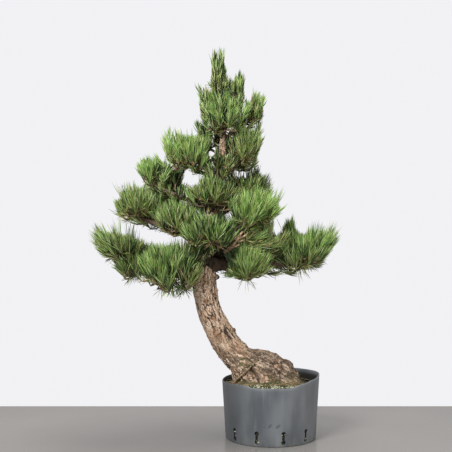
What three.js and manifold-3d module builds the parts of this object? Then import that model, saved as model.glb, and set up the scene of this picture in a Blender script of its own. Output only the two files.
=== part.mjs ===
// A Japanese black pine trained as a bonsai, in a slotted training pot.
// Millimetres, +Z up. The origin is the middle of the pot's flat underside. X runs to the
// right in the front view and Y runs away from the viewer.

import * as THREE from "three";
import { mergeVertices } from "three/addons/utils/BufferGeometryUtils.js";
import Module from "manifold-3d";

const wasm = await Module();
wasm.setup();

const { clamp, degToRad, lerp, radToDeg } = THREE.MathUtils;

// Clearance between each piece and what carries it
const GAP = 0.3;
const MERGE_DISTANCE = 1e-4;

// Pot: a tapered tub whose rim was cut down by hand, with drain slots round its foot
const POT_FOOT_RADIUS = 110.4;
const POT_RIM_RADIUS = 119;
const POT_FULL_HEIGHT = 150;
const POT_WALL = 3;
const POT_FLOOR = 4;
const POT_SIDES = 33;
// The cut rim: direction in degrees (0 is the right side, -90 the front) and height
const RIM_CUT = [
  [0, 156], [50, 153], [100, 147], [150, 141], [180, 139],
  [208, 141], [231, 143], [248, 138], [288, 138], [308, 145], [325, 150],
];
const SLOT_COUNT = 11;
const SLOT_FIRST = -77;
const SLOT_FOOT = 5;
const SLOT_EYE_RADIUS = 5.5;
const SLOT_NECK = 3.4;
const SLOT_HEIGHT = 31;
const SLOT_ARC_STEPS = 2;

// Soil: fills the pot to just under its rim, falls away towards the side walls and is lumpy
const SOIL_CROWN = 140;
const SOIL_CROWN_RADIUS = 60;
const SOIL_SHOULDER = 137;
const SOIL_SHOULDER_RADIUS = 96;
const SOIL_EDGE = 134;
const SOIL_SIDE_FALL = 7;
const SOIL_LUMP = 1.6;
const SOIL_LUMP_COUNT = 5;
const SOIL_LUMP_TURN = 9;
const SOIL_SMOOTH_RADIUS = 40;

// Trunk: stations of x, y, z and radius, from under the cut to the tip
const TRUNK_CUT = 133;
const TRUNK_CUT_WIDTH = 600;
const TRUNK_LINE = [
  [58, 0, 112, 26], [30, -5, 143, 39], [-15, -8, 167, 42], [-62, -4, 187, 38],
  [-94, 0, 209, 34], [-126, 4, 256, 32], [-152, 6, 312, 28], [-163, 4, 372, 29],
  [-157, 0, 450, 22], [-144, -4, 544, 16], [-127, -2, 635, 12], [-117, 2, 716, 8.5],
  [-118, 2, 785, 5.5], [-128, 0, 838, 4],
];
const TRUNK_SIDES = 12;
const TRUNK_RINGS = 32;
const TRUNK_LENGTH_STEPS = 800;
const TRUNK_HEIGHT_STEPS = 30;
const TRUNK_FLUTE = 0.05;
const FLUTE_COUNT = 3;
const FLUTE_TURN = 5;

// Root flare: each root leaves the trunk's foot and dives under the soil
const ROOT_SIDES = 9;
const ROOT_RINGS = 4;
const ROOTS = {
  left: [[-70, -8, 190, 34], [-62, -14, 160, 34], [-50, -18, 118, 36]],
  front: [[-10, -12, 165, 36], [-8, -38, 146, 32], [-2, -54, 114, 30]],
  front_right: [[30, -8, 150, 34], [38, -32, 132, 26], [44, -46, 108, 22]],
  back: [[-20, 8, 165, 36], [-22, 34, 144, 32], [-22, 52, 114, 30]],
  back_right: [[30, 6, 148, 32], [48, 26, 126, 26], [56, 38, 106, 22]],
};

// Boughs: parent and the place on it, radius at the foot and tip, and how far the middle
// bows away from a straight line to the mass that the bough feeds, which has its name. A
// place on the trunk is a height, and a place on a bough is a share of its length.
const LIMB_SIDES = 5;
const LIMB_RINGS = 4;
const LIMB_TAPER = 0.8;
const LIMBS = {
  low_left: { from: "trunk", at: 412, feeds: "low_left_tip", foot: 15, tip: 5, bow: [0, 0, -34] },
  low_left_mid: { from: "low_left", at: 0.6, foot: 6, tip: 4.5, bow: [0, 6, -8] },
  low_left_front: { from: "low_left", at: 0.3, foot: 7, tip: 4.5, bow: [0, 0, -10] },
  second_left: { from: "trunk", at: 468, feeds: "second_left_tip", foot: 11, tip: 4.5, bow: [0, 0, 8] },
  second_left_mid: { from: "second_left", at: 0.52, foot: 5, tip: 4, bow: [0, 4, -6] },
  second_left_front: { from: "second_left", at: 0.22, foot: 5.5, tip: 4, bow: [0, 0, -8] },
  third_left: { from: "trunk", at: 562, foot: 8, tip: 4, bow: [0, 0, -10] },
  third_left_back: { from: "third_left", at: 0.5, foot: 4.5, tip: 3.5, bow: [0, 4, -6] },
  fourth_left: { from: "trunk", at: 636, foot: 7, tip: 4, bow: [0, 0, -9] },
  centre_low: { from: "trunk", at: 448, foot: 9, tip: 4.5, bow: [0, 0, -6] },
  right_front: { from: "trunk", at: 476, foot: 10, tip: 4.5, bow: [-4, -24, 0] },
  right_under: { from: "trunk", at: 464, foot: 8, tip: 4.5, bow: [0, -8, 2], stop: 34 },
  right_mid: { from: "trunk", at: 530, foot: 8, tip: 4, bow: [0, 0, -8] },
  right_upper: { from: "trunk", at: 628, foot: 7, tip: 4, bow: [0, 0, -6] },
  low_right: {
    from: "trunk", at: 430, feeds: "low_right_tip", foot: 19, tip: 5, bow: [0, 0, -14], stop: 50,
  },
  low_right_front: { from: "low_right", at: 0.32, foot: 6.5, tip: 4.5, bow: [0, 0, -8] },
  low_right_mid: { from: "low_right", at: 0.48, foot: 6, tip: 4, bow: [0, 4, -4] },
  low_right_back: { from: "low_right", at: 0.66, foot: 5, tip: 3.5, bow: [0, 6, -8] },
  back_low: { from: "trunk", at: 424, foot: 9, tip: 4.5, bow: [0, 0, -12] },
  back_left: { from: "trunk", at: 498, foot: 8, tip: 4, bow: [0, 0, -12] },
  back_right: { from: "trunk", at: 484, foot: 8, tip: 4, bow: [0, 0, -14] },
  back_mid: { from: "trunk", at: 540, foot: 7, tip: 4, bow: [0, 0, -10] },
  back_upper: { from: "trunk", at: 640, foot: 6, tip: 3.5, bow: [0, 0, -8] },
};

// Masses of foliage: the heart where the twigs part, how far the shoots reach across and
// deep, how many there are, the way they lean, and how long their needles are. Where given,
// tall is how far the shoots stagger in height and narrow closes up their fan. A mass with
// no bough has its own stem from the trunk, at the height that stem gives.
const MASSES = {
  low_left_tip: {
    heart: [-368, -15, 444], across: 24, deep: 28, shoots: 6, lean: [-0.3, 0, 1], needle: 64,
  },
  low_left_mid: {
    heart: [-334, 25, 408], across: 26, deep: 52, shoots: 6, lean: [-0.1, 0.05, 1], needle: 66, tall: 16,
  },
  low_left_front: {
    heart: [-262, -62, 386], across: 32, deep: 26, shoots: 7, lean: [-0.05, -0.15, 1], needle: 70, tall: 48,
  },
  low_left_inner: {
    heart: [-214, -38, 386], across: 20, deep: 20, shoots: 5, lean: [0.02, -0.15, 1], needle: 66,
    stem: 398, tall: 48,
  },
  second_left_tip: {
    heart: [-331, -10, 540], across: 18, deep: 28, shoots: 5, lean: [-0.2, 0, 1], needle: 62, tall: 26,
  },
  second_left_mid: {
    heart: [-288, 26, 540], across: 20, deep: 36, shoots: 5, lean: [-0.05, 0, 1], needle: 64, tall: 20,
  },
  second_left_front: {
    heart: [-226, -52, 502], across: 24, deep: 26, shoots: 6, lean: [0, -0.15, 1], needle: 66, tall: 14,
  },
  third_left: {
    heart: [-288, -15, 619], across: 12, deep: 16, shoots: 4, lean: [-0.1, 0, 1], needle: 54,
  },
  third_left_back: {
    heart: [-244, 38, 597], across: 10, deep: 18, shoots: 3, lean: [0.05, 0.1, 1], needle: 58,
  },
  fourth_left: {
    heart: [-204, -18, 665], across: 34, deep: 20, shoots: 6, lean: [-0.02, 0, 1], needle: 60,
  },
  upper_left_back: {
    heart: [-150, 34, 709], across: 8, deep: 14, shoots: 3, lean: [-0.2, 0.2, 1], needle: 54, stem: 690,
  },
  upper_front: {
    heart: [-122, -38, 646], across: 18, deep: 12, shoots: 4, lean: [0, -0.15, 1], needle: 58, stem: 630,
  },
  centre_upper: {
    heart: [-141, -50, 566], across: 24, deep: 20, shoots: 5, lean: [0, -0.1, 1], needle: 64, stem: 548,
  },
  centre_low: {
    heart: [-150, -80, 484], across: 32, deep: 22, shoots: 6, lean: [0, -0.15, 1], needle: 66, tall: 14,
  },
  right_mid: {
    heart: [-66, 36, 592], across: 28, deep: 32, shoots: 5, lean: [0.06, 0.05, 1], needle: 64,
  },
  right_front: {
    heart: [-46, -50, 526], across: 34, deep: 26, shoots: 7, lean: [0.12, -0.1, 1], needle: 70, tall: 16,
  },
  right_under: {
    heart: [-34, -28, 454], across: 28, deep: 24, shoots: 4, lean: [0.12, -0.1, 1], needle: 70,
  },
  right_upper: {
    heart: [-68, -14, 680], across: 22, deep: 28, shoots: 6, lean: [0, 0, 1], needle: 62, tall: 18,
  },
  low_right_front: {
    heart: [-62, -64, 396], across: 26, deep: 20, shoots: 6, lean: [0, -0.1, 1], needle: 66,
  },
  low_right_mid: {
    heart: [16, 30, 424], across: 24, deep: 22, shoots: 5, lean: [0.05, 0, 1], needle: 64,
  },
  low_right_back: {
    heart: [52, 62, 472], across: 8, deep: 16, shoots: 3, lean: [0, 0.1, 1], needle: 56,
  },
  low_right_tip: {
    heart: [91, -8, 426], across: 34, deep: 28, shoots: 7, lean: [0.16, 0, 1], needle: 68, tall: 36,
  },
  apex_leader: {
    heart: [-130, 0, 862], across: 12, deep: 15, shoots: 4, lean: [0, 0, 1], needle: 56,
    stem: 838, tall: 26, narrow: 0.55,
  },
  apex_left: {
    heart: [-147, -6, 790], across: 13, deep: 17, shoots: 4, lean: [-0.08, 0, 1], needle: 56,
    stem: 764, tall: 18, narrow: 0.65,
  },
  apex_front: {
    heart: [-109, -32, 762], across: 22, deep: 10, shoots: 5, lean: [0, -0.15, 1], needle: 60, stem: 738,
  },
  apex_right: {
    heart: [-80, 3, 818], across: 10, deep: 15, shoots: 4, lean: [0.02, 0, 1], needle: 52,
    stem: 776, tall: 20, narrow: 0.55,
  },
  apex_outer: {
    heart: [-48, 5, 778], across: 12, deep: 17, shoots: 4, lean: [0.08, 0, 1], needle: 56,
    stem: 730, tall: 24, narrow: 0.6,
  },
  apex_back: {
    heart: [-112, 36, 780], across: 18, deep: 12, shoots: 3, lean: [0, 0.2, 1], needle: 56, stem: 752,
  },
  back_low: {
    heart: [-120, 118, 424], across: 34, deep: 26, shoots: 5, lean: [0, 0.25, 1], needle: 64,
  },
  back_left: {
    heart: [-258, 108, 516], across: 32, deep: 26, shoots: 5, lean: [-0.1, 0.2, 1], needle: 62,
  },
  back_mid: {
    heart: [-140, 108, 546], across: 28, deep: 26, shoots: 4, lean: [0, 0.25, 1], needle: 62,
  },
  back_right: {
    heart: [-46, 112, 468], across: 32, deep: 26, shoots: 5, lean: [0.12, 0.2, 1], needle: 64,
  },
  back_upper: {
    heart: [-86, 72, 668], across: 22, deep: 18, shoots: 5, lean: [0.05, 0.25, 1], needle: 58,
  },
};

// Stems: each runs on from its bough's tip, or out of the trunk, to the heart of its mass.
// Twigs part from it between the share that forks gives and its last share.
const STEM_LENGTH = 26;
const STEM_HEART_RADIUS = 3;
const STEM_SIDES = 5;
const STEM_RINGS = 2;
const TRUNK_STEM_RADIUS = 4;
const BOUGH_STEM_FORKS = 0.5;
const TRUNK_STEM_FORKS = 0.7;
const LAST_FORK = 0.98;

// Shoots: a twig that turns upward into a slim core with needles all along it
const SEED_STEP = 7919;
const GOLDEN_ANGLE = Math.PI * (3 - Math.sqrt(5));
const SHOOT_LENGTH = 30;
const SHOOT_SHORTEST = 0.85;
const SHOOT_SPREAD = 0.3;
const SHOOT_DOME = 8;
const SHOOT_STAGGER = 10;
const SHOOT_FAN = 0.45;
const SHOOT_WANDER = 0.12;
const SHOOT_SIDES = 3;
const LONG_TWIG = 34;
const TWIG_BEND = 0.45;
const TWIG_RADIUS = 2.8;
const CORE_RADIUS = 4.4;
const CORE_TIP_RADIUS = 3.2;
const CORE_TIP_REACH = 4;

// Needles: three bands of them on each core, at an angle to it that closes towards the tip
const NEEDLE_BANDS = 3;
const NEEDLE_FOOT_ANGLE = 70;
const NEEDLE_TIP_ANGLE = 18;
const NEEDLE_ANGLE_SPREAD = 10;
const NEEDLE_SHORT = 0.86;
const NEEDLE_SPREAD = 0.22;
const NEEDLE_FOOT_SHARE = 0.7;
const NEEDLE_SHORTEST = 0.42;

// Room that twigs, cores and needles leave round each other and round the limbs
const TRUNK_TESTS = 40;
const LIMB_TESTS = 10;
const PIECE_TESTS = [0, 0.2, 0.4, 0.6, 0.8, 1];
const WOOD_CLEARANCE = 1;
const FORK_SHARE = 0.15;
const NEEDLE_TESTS = 8;
const NEEDLE_FIRST_TEST = 0.08;
const NEEDLE_NEIGHBOURS = 150;
const NEEDLE_APART = 0.8;
const NEEDLE_TWIG_CLEARANCE = 1.5;
const NEEDLE_LIMB_CLEARANCE = 3.5;

// Colours of the real finishes
const PLASTIC = { color: 0x4a5053, roughness: 0.55, metalness: 0 };
const SOIL = { color: 0x4c4a30, roughness: 1, metalness: 0 };
const BARK = { color: 0x8d7765, roughness: 0.95, metalness: 0 };
const NEEDLES = { color: 0x3f6a35, roughness: 0.6, metalness: 0 };

const tree = new THREE.Group();

function addNode(name, solid, finish) {
  const shell = solid.getMesh();
  const geometry = new THREE.BufferGeometry();
  geometry.setAttribute("position", new THREE.BufferAttribute(shell.vertProperties, 3));
  geometry.setIndex(new THREE.BufferAttribute(shell.triVerts, 1));
  const mesh = new THREE.Mesh(geometry, new THREE.MeshStandardMaterial({ ...finish, flatShading: true }));
  mesh.name = name;
  tree.add(mesh);
}

// A mesh whose shared corners are one
function merged(geometry) {
  geometry.deleteAttribute("normal");
  geometry.deleteAttribute("uv");
  return mergeVertices(geometry, MERGE_DISTANCE);
}

function solidOf(geometry) {
  const mesh = merged(geometry);
  return new wasm.Manifold(new wasm.Mesh({
    numProp: 3,
    vertProperties: Float32Array.from(mesh.attributes.position.array),
    triVerts: Uint32Array.from(mesh.index.array),
  }));
}

// The same row of chance numbers from the same name, on every run
function seeded(name, extra = 0) {
  const letters = [...name].reduce((sum, letter) => sum + letter.charCodeAt(0), 0);
  let state = (letters * SEED_STEP + extra) >>> 0;
  return () => {
    state = (state + 0x6d2b79f5) >>> 0;
    let mixed = Math.imul(state ^ (state >>> 15), state | 1);
    mixed ^= mixed + Math.imul(mixed ^ (mixed >>> 7), mixed | 61);
    return ((mixed ^ (mixed >>> 14)) >>> 0) / 2 ** 32;
  };
}

// A cylinder bent along a curve, with its radius set by the share of the way and the
// direction round the curve, and each ring turned a little from the last
function sweep(curve, radiusAt, sides, rings, turn = 0) {
  const geometry = new THREE.CylinderGeometry(1, 1, 1, sides, rings);
  const frames = curve.computeFrenetFrames(rings, false);
  const position = geometry.attributes.position;
  const along = new Float32Array(position.count);
  for (let i = 0; i < position.count; i += 1) {
    const ring = Math.round((position.getY(i) + 0.5) * rings);
    const share = ring / rings;
    const angle = Math.atan2(position.getX(i), position.getZ(i)) - ring * turn;
    const reach = Math.hypot(position.getX(i), position.getZ(i)) * radiusAt(share, angle);
    const point = curve.getPointAt(share);
    point.addScaledVector(frames.normals[ring], Math.sin(angle) * reach);
    point.addScaledVector(frames.binormals[ring], -Math.cos(angle) * reach);
    position.setXYZ(i, point.x, point.y, point.z);
    along[i] = ring;
  }
  geometry.setAttribute("along", new THREE.BufferAttribute(along, 1));
  return geometry;
}

function vectors(points) {
  return points.map(([x, y, z]) => new THREE.Vector3(x, y, z));
}

function radiusAmong(stations, share) {
  const place = share * (stations.length - 1);
  const low = Math.min(Math.floor(place), stations.length - 2);
  return lerp(stations[low][3], stations[low + 1][3], place - low);
}

// The height of the hand-cut rim in one direction, eased between the measured ones
function rimHeight(angle) {
  const degrees = ((radToDeg(angle) % 360) + 360) % 360;
  const next = RIM_CUT.findIndex(([direction]) => direction > degrees);
  const after = next < 0 ? [360, RIM_CUT[0][1]] : RIM_CUT[next];
  const before = RIM_CUT[(next < 0 ? RIM_CUT.length : next) - 1];
  const share = (degrees - before[0]) / (after[0] - before[0]);
  return lerp(before[1], after[1], share * share * (3 - 2 * share));
}

function potRadius(height) {
  return lerp(POT_FOOT_RADIUS, POT_RIM_RADIUS, height / POT_FULL_HEIGHT);
}

// A turned form with its axis on Z, from points of radius and height. Its flats are turned
// so that each drain slot falls in the middle of one.
function turned(profile) {
  const geometry = new THREE.LatheGeometry(profile.map(([r, z]) => new THREE.Vector2(r, z)), POT_SIDES);
  geometry.rotateX(Math.PI / 2);
  geometry.rotateZ(degToRad(SLOT_FIRST + 90 - 180 / POT_SIDES));
  return geometry;
}

// A slot is two round eyes joined by a narrower neck, cut straight through the wall
function slotCutter(angle) {
  const eye = SLOT_EYE_RADIUS;
  const low = SLOT_FOOT + eye;
  const high = SLOT_FOOT + SLOT_HEIGHT - eye;
  const open = Math.acos(SLOT_NECK / eye);
  const outline = new THREE.Shape();
  outline.absarc(0, low, eye, Math.PI - open, 2 * Math.PI + open, false);
  outline.absarc(0, high, eye, -open, Math.PI + open, false);
  const slot = new THREE.ExtrudeGeometry(outline, {
    depth: 4 * POT_WALL,
    bevelEnabled: false,
    curveSegments: SLOT_ARC_STEPS,
  });
  slot.rotateX(Math.PI / 2);
  slot.rotateZ(Math.PI / 2);
  slot.translate(POT_FOOT_RADIUS - 2 * POT_WALL, 0, 0);
  slot.rotateZ(angle);
  return solidOf(slot);
}

function potSolid() {
  const rim = POT_FULL_HEIGHT;
  const shell = turned([
    [0, 0], [POT_FOOT_RADIUS, 0], [POT_RIM_RADIUS, rim], [POT_RIM_RADIUS - POT_WALL, rim],
    [POT_FOOT_RADIUS - POT_WALL, POT_FLOOR], [0, POT_FLOOR],
  ]);
  const position = shell.attributes.position;
  for (let i = 0; i < position.count; i += 1) {
    if (position.getZ(i) > rim / 2) {
      const angle = Math.atan2(position.getY(i), position.getX(i));
      const height = rimHeight(angle);
      const inner = Math.hypot(position.getX(i), position.getY(i)) < POT_RIM_RADIUS - POT_WALL / 2;
      const radius = potRadius(height) - (inner ? POT_WALL : 0);
      position.setXYZ(i, Math.cos(angle) * radius, Math.sin(angle) * radius, height);
    }
  }
  let pot = solidOf(shell);
  for (let i = 0; i < SLOT_COUNT; i += 1) {
    pot = pot.subtract(slotCutter(degToRad(SLOT_FIRST + (360 / SLOT_COUNT) * i)));
  }
  return pot;
}

function soilSolid(trunk) {
  const wallAt = (height) => potRadius(height) - POT_WALL - GAP;
  const foot = POT_FLOOR + GAP;
  const soil = turned([
    [0, foot], [wallAt(POT_FLOOR), foot], [wallAt(SOIL_EDGE), SOIL_EDGE],
    [SOIL_SHOULDER_RADIUS, SOIL_SHOULDER], [SOIL_CROWN_RADIUS, SOIL_CROWN], [0, SOIL_CROWN],
  ]);
  const position = soil.attributes.position;
  for (let i = 0; i < position.count; i += 1) {
    const radius = Math.hypot(position.getX(i), position.getY(i));
    if (position.getZ(i) > SOIL_EDGE / 2 && radius > 1) {
      const angle = Math.atan2(position.getY(i), position.getX(i));
      const fall = SOIL_SIDE_FALL * Math.cos(angle) ** 2 * (radius / POT_RIM_RADIUS) ** 3;
      const wave = Math.sin(SOIL_LUMP_COUNT * angle + radius / SOIL_LUMP_TURN);
      const height = position.getZ(i) - fall + SOIL_LUMP * wave * Math.min(1, radius / SOIL_SMOOTH_RADIUS);
      const reach = radius > wallAt(SOIL_EDGE) - 1 ? wallAt(height) : radius;
      position.setXYZ(i, Math.cos(angle) * reach, Math.sin(angle) * reach, height);
    }
  }
  return solidOf(soil).subtract(trunk);
}

const trunkCurve = new THREE.CatmullRomCurve3(vectors(TRUNK_LINE), false, "centripetal");
trunkCurve.arcLengthDivisions = TRUNK_LENGTH_STEPS;

function trunkRadius(share) {
  return radiusAmong(TRUNK_LINE, trunkCurve.getUtoTmapping(share));
}

function trunkSolid(extra = 0) {
  const fluted = (share, angle) => (
    trunkRadius(share) * (1 + TRUNK_FLUTE * Math.cos(FLUTE_COUNT * angle + FLUTE_TURN * share)) + extra
  );
  let trunk = solidOf(sweep(trunkCurve, fluted, TRUNK_SIDES, TRUNK_RINGS));
  for (const stations of Object.values(ROOTS)) {
    const curve = new THREE.CatmullRomCurve3(vectors(stations));
    const root = sweep(curve, (share) => radiusAmong(stations, share) + extra, ROOT_SIDES, ROOT_RINGS);
    trunk = trunk.add(solidOf(root));
  }
  const below = new THREE.BoxGeometry(TRUNK_CUT_WIDTH, TRUNK_CUT_WIDTH, TRUNK_CUT);
  below.translate(0, 0, TRUNK_CUT / 2 - extra);
  return trunk.subtract(solidOf(below));
}

// The place on the trunk's line that lies at a height, found by halving
function trunkPoint(height) {
  let low = 0;
  let high = 1;
  for (let step = 0; step < TRUNK_HEIGHT_STEPS; step += 1) {
    const middle = (low + high) / 2;
    if (trunkCurve.getPointAt(middle).z < height) {
      low = middle;
    } else {
      high = middle;
    }
  }
  return trunkCurve.getPointAt(low);
}

function bowed(start, end, bow) {
  const middle = start.clone().lerp(end, 0.5).add(new THREE.Vector3(...bow));
  return new THREE.QuadraticBezierCurve3(start, middle, end);
}

// The line of each bough runs on to the heart of its mass, and the bough stops short of it
const limbLines = {};
for (const [name, limb] of Object.entries(LIMBS)) {
  const start = limb.from === "trunk"
    ? trunkPoint(limb.at)
    : limbLines[limb.from].curve.getPointAt(limb.at);
  const feeds = limb.feeds ?? name;
  const curve = bowed(start, new THREE.Vector3(...MASSES[feeds].heart), limb.bow);
  const length = curve.getLength();
  limbLines[name] = { ...limb, feeds, curve, length, share: 1 - (limb.stop ?? STEM_LENGTH) / length };
}

// A stretch of a curve between two shares of its length
class Stretch extends THREE.Curve {
  constructor(curve, from, to) {
    super();
    this.whole = curve;
    this.from = from;
    this.to = to;
  }

  getPoint(share, target = new THREE.Vector3()) {
    return target.copy(this.whole.getPointAt(lerp(this.from, this.to, share)));
  }
}

function limbSolid(name, extra = 0) {
  const { curve, share, foot, tip } = limbLines[name];
  const radiusAt = (along) => lerp(foot, tip, along ** LIMB_TAPER) + extra;
  return solidOf(sweep(new Stretch(curve, 0, share), radiusAt, LIMB_SIDES, LIMB_RINGS));
}

// What the foliage keeps clear of: straight pieces of the trunk and boughs with their radius
const obstacles = [];
function addObstacles(curve, to, pieces, radiusAt) {
  for (let i = 0; i < pieces; i += 1) {
    const [a, b] = [i / pieces, (i + 1) / pieces].map((share) => curve.getPointAt(share * to));
    obstacles.push({ a, b, radius: radiusAt((i + 0.5) / pieces) });
  }
}
addObstacles(trunkCurve, 1, TRUNK_TESTS, (share) => trunkRadius(share) * (1 + TRUNK_FLUTE));
for (const { curve, share, foot, tip } of Object.values(limbLines)) {
  addObstacles(curve, share, LIMB_TESTS, (along) => lerp(foot, tip, along));
}

const stems = {};
for (const [name, mass] of Object.entries(MASSES)) {
  const limb = Object.values(limbLines).find(({ feeds }) => feeds === name);
  if (limb) {
    const line = new Stretch(limb.curve, limb.share + GAP / limb.length, 1);
    stems[name] = { curve: line, radius: limb.tip, forks: BOUGH_STEM_FORKS };
  } else {
    const line = bowed(trunkPoint(mass.stem), new THREE.Vector3(...mass.heart), [0, 0, 0]);
    stems[name] = { curve: line, radius: TRUNK_STEM_RADIUS, forks: TRUNK_STEM_FORKS };
  }
}

// Each shoot stands at its own turn of the golden angle round the heart, leans outward
// from it, and is fed by a twig that turns upward. The straight pieces of its twig, which
// a short one has fewer of, and its core are what the others keep clear of.
function growShoots(name) {
  const mass = MASSES[name];
  const heart = new THREE.Vector3(...mass.heart);
  const lean = new THREE.Vector3(...mass.lean);
  const fan = SHOOT_FAN * (mass.narrow ?? 1);
  const chance = seeded(name);
  const phase = chance() * 2 * Math.PI;
  const shoots = [];
  for (let i = 0; i < mass.shoots; i += 1) {
    const reach = Math.sqrt((i + 0.5) / mass.shoots);
    const turn = phase + i * GOLDEN_ANGLE;
    const out = new THREE.Vector3(Math.cos(turn) * reach, Math.sin(turn) * reach, 0);
    const rise = SHOOT_DOME * (1 - 2 * reach * reach) + (chance() - 0.5) * (mass.tall ?? SHOOT_STAGGER);
    const base = new THREE.Vector3(out.x * mass.across, out.y * mass.deep, rise).add(heart);
    const wander = new THREE.Vector3(chance() - 0.5, chance() - 0.5, 0);
    const way = lean.clone().addScaledVector(out, fan).addScaledVector(wander, SHOOT_WANDER).normalize();
    const length = SHOOT_LENGTH * (SHOOT_SHORTEST + SHOOT_SPREAD * chance());
    const start = stems[name].curve.getPointAt(lerp(stems[name].forks, LAST_FORK, chance()));
    const tip = base.clone().addScaledVector(way, length);
    const bend = base.clone().addScaledVector(way, -TWIG_BEND * start.distanceTo(base));
    const twig = new THREE.QuadraticBezierCurve3(start, bend, base);
    const knots = twig.getLength() > LONG_TWIG ? [start, twig.getPointAt(0.5), base] : [start, base];
    const wood = knots.slice(1).map((knot, k) => [knots[k], knot]);
    shoots.push({ name, base, tip, way, length, twig, wood, core: [base, tip] });
  }
  return shoots;
}

function segmentDistance(point, a, b) {
  const reach = b.clone().sub(a);
  const share = clamp(point.clone().sub(a).dot(reach) / reach.lengthSq(), 0, 1);
  return point.distanceTo(a.clone().addScaledVector(reach, share));
}

function touchesLimb(shoot) {
  return obstacles.some(({ a, b, radius }) => {
    const twigTouches = shoot.wood.some(([from, to], i) => PIECE_TESTS.some((share) => (
      i + share > FORK_SHARE
      && segmentDistance(from.clone().lerp(to, share), a, b) < radius + TWIG_RADIUS + WOOD_CLEARANCE
    )));
    const room = radius + CORE_RADIUS + WOOD_CLEARANCE;
    return twigTouches || shoot.core.some((end) => segmentDistance(end, a, b) < room);
  });
}

// Shoots of one mass share the wood that they part from, but their cores stay apart
function crowds(shoot, other) {
  const apart = shoot.name !== other.name;
  const own = apart ? [...shoot.wood, shoot.core] : [shoot.core];
  const others = apart ? [...other.wood, other.core] : [other.core];
  const room = 2 * CORE_RADIUS + WOOD_CLEARANCE;
  return own.some(([from, to]) => others.some((piece) => PIECE_TESTS.some(
    (share) => segmentDistance(from.clone().lerp(to, share), ...piece) < room,
  )));
}

const shoots = [];
for (const shoot of Object.keys(MASSES).flatMap(growShoots)) {
  if (!touchesLimb(shoot) && !shoots.some((other) => crowds(shoot, other))) {
    shoots.push(shoot);
  }
}

// A needle keeps nearer to its own shoot than to any other wood or shoot
function roomAt(point, own) {
  const room = segmentDistance(point, ...own.core) + NEEDLE_APART;
  const twigRoom = TWIG_RADIUS + NEEDLE_TWIG_CLEARANCE;
  const near = shoots.filter((other) => other !== own && other.base.distanceTo(point) < NEEDLE_NEIGHBOURS);
  const pieces = near.flatMap(({ wood, core }) => [...wood, core]);
  return !pieces.some((piece) => segmentDistance(point, ...piece) < room)
    && !own.wood.some((piece) => segmentDistance(point, ...piece) < twigRoom)
    && !obstacles.some(({ a, b, radius }) => segmentDistance(point, a, b) < radius + NEEDLE_LIMB_CLEARANCE);
}

// How much of a needle's full length there is room for
function clearLength(foot, way, full, own) {
  let clear = 0;
  for (let i = 1; i <= NEEDLE_TESTS; i += 1) {
    const share = lerp(NEEDLE_FIRST_TEST, 1, i / NEEDLE_TESTS);
    if (!roomAt(foot.clone().addScaledVector(way, full * share), own)) {
      return clear * full;
    }
    clear = share;
  }
  return clear * full;
}

// The line of a twig and its shoot, paced so that every band takes the same share of it
class ShootLine extends THREE.Curve {
  constructor(shoot) {
    super();
    this.shoot = shoot;
  }

  getPoint(share, target = new THREE.Vector3()) {
    const { twig, wood, base, tip } = this.shoot;
    const band = share * (wood.length + NEEDLE_BANDS);
    return band < wood.length
      ? target.copy(twig.getPointAt(band / wood.length))
      : target.copy(base).lerp(tip, (band - wood.length) / NEEDLE_BANDS);
  }

  getPointAt(share, target) {
    return this.getPoint(share, target);
  }

  getTangentAt(share, target) {
    return this.getTangent(share, target);
  }
}

// The tip of the needle that stands on one face of a shoot, or nothing where it has no room
function needleTip(shoot, foot, needle, narrow, chance) {
  const up = foot.clone().sub(shoot.base).dot(shoot.way);
  const out = foot.clone().sub(shoot.base).addScaledVector(shoot.way, -up).normalize();
  const share = up / shoot.length;
  const spread = (chance() - 0.5) * NEEDLE_ANGLE_SPREAD;
  const angle = degToRad(lerp(NEEDLE_FOOT_ANGLE, NEEDLE_TIP_ANGLE, share) * narrow + spread);
  const way = shoot.way.clone().multiplyScalar(Math.cos(angle)).addScaledVector(out, Math.sin(angle));
  const growth = lerp(NEEDLE_FOOT_SHARE, 1, Math.min(2 * share, 1));
  const full = needle * (NEEDLE_SHORT + NEEDLE_SPREAD * chance()) * growth;
  const length = clearLength(foot, way, full, shoot);
  return length > NEEDLE_SHORTEST * full ? foot.addScaledVector(way, length) : null;
}

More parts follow.
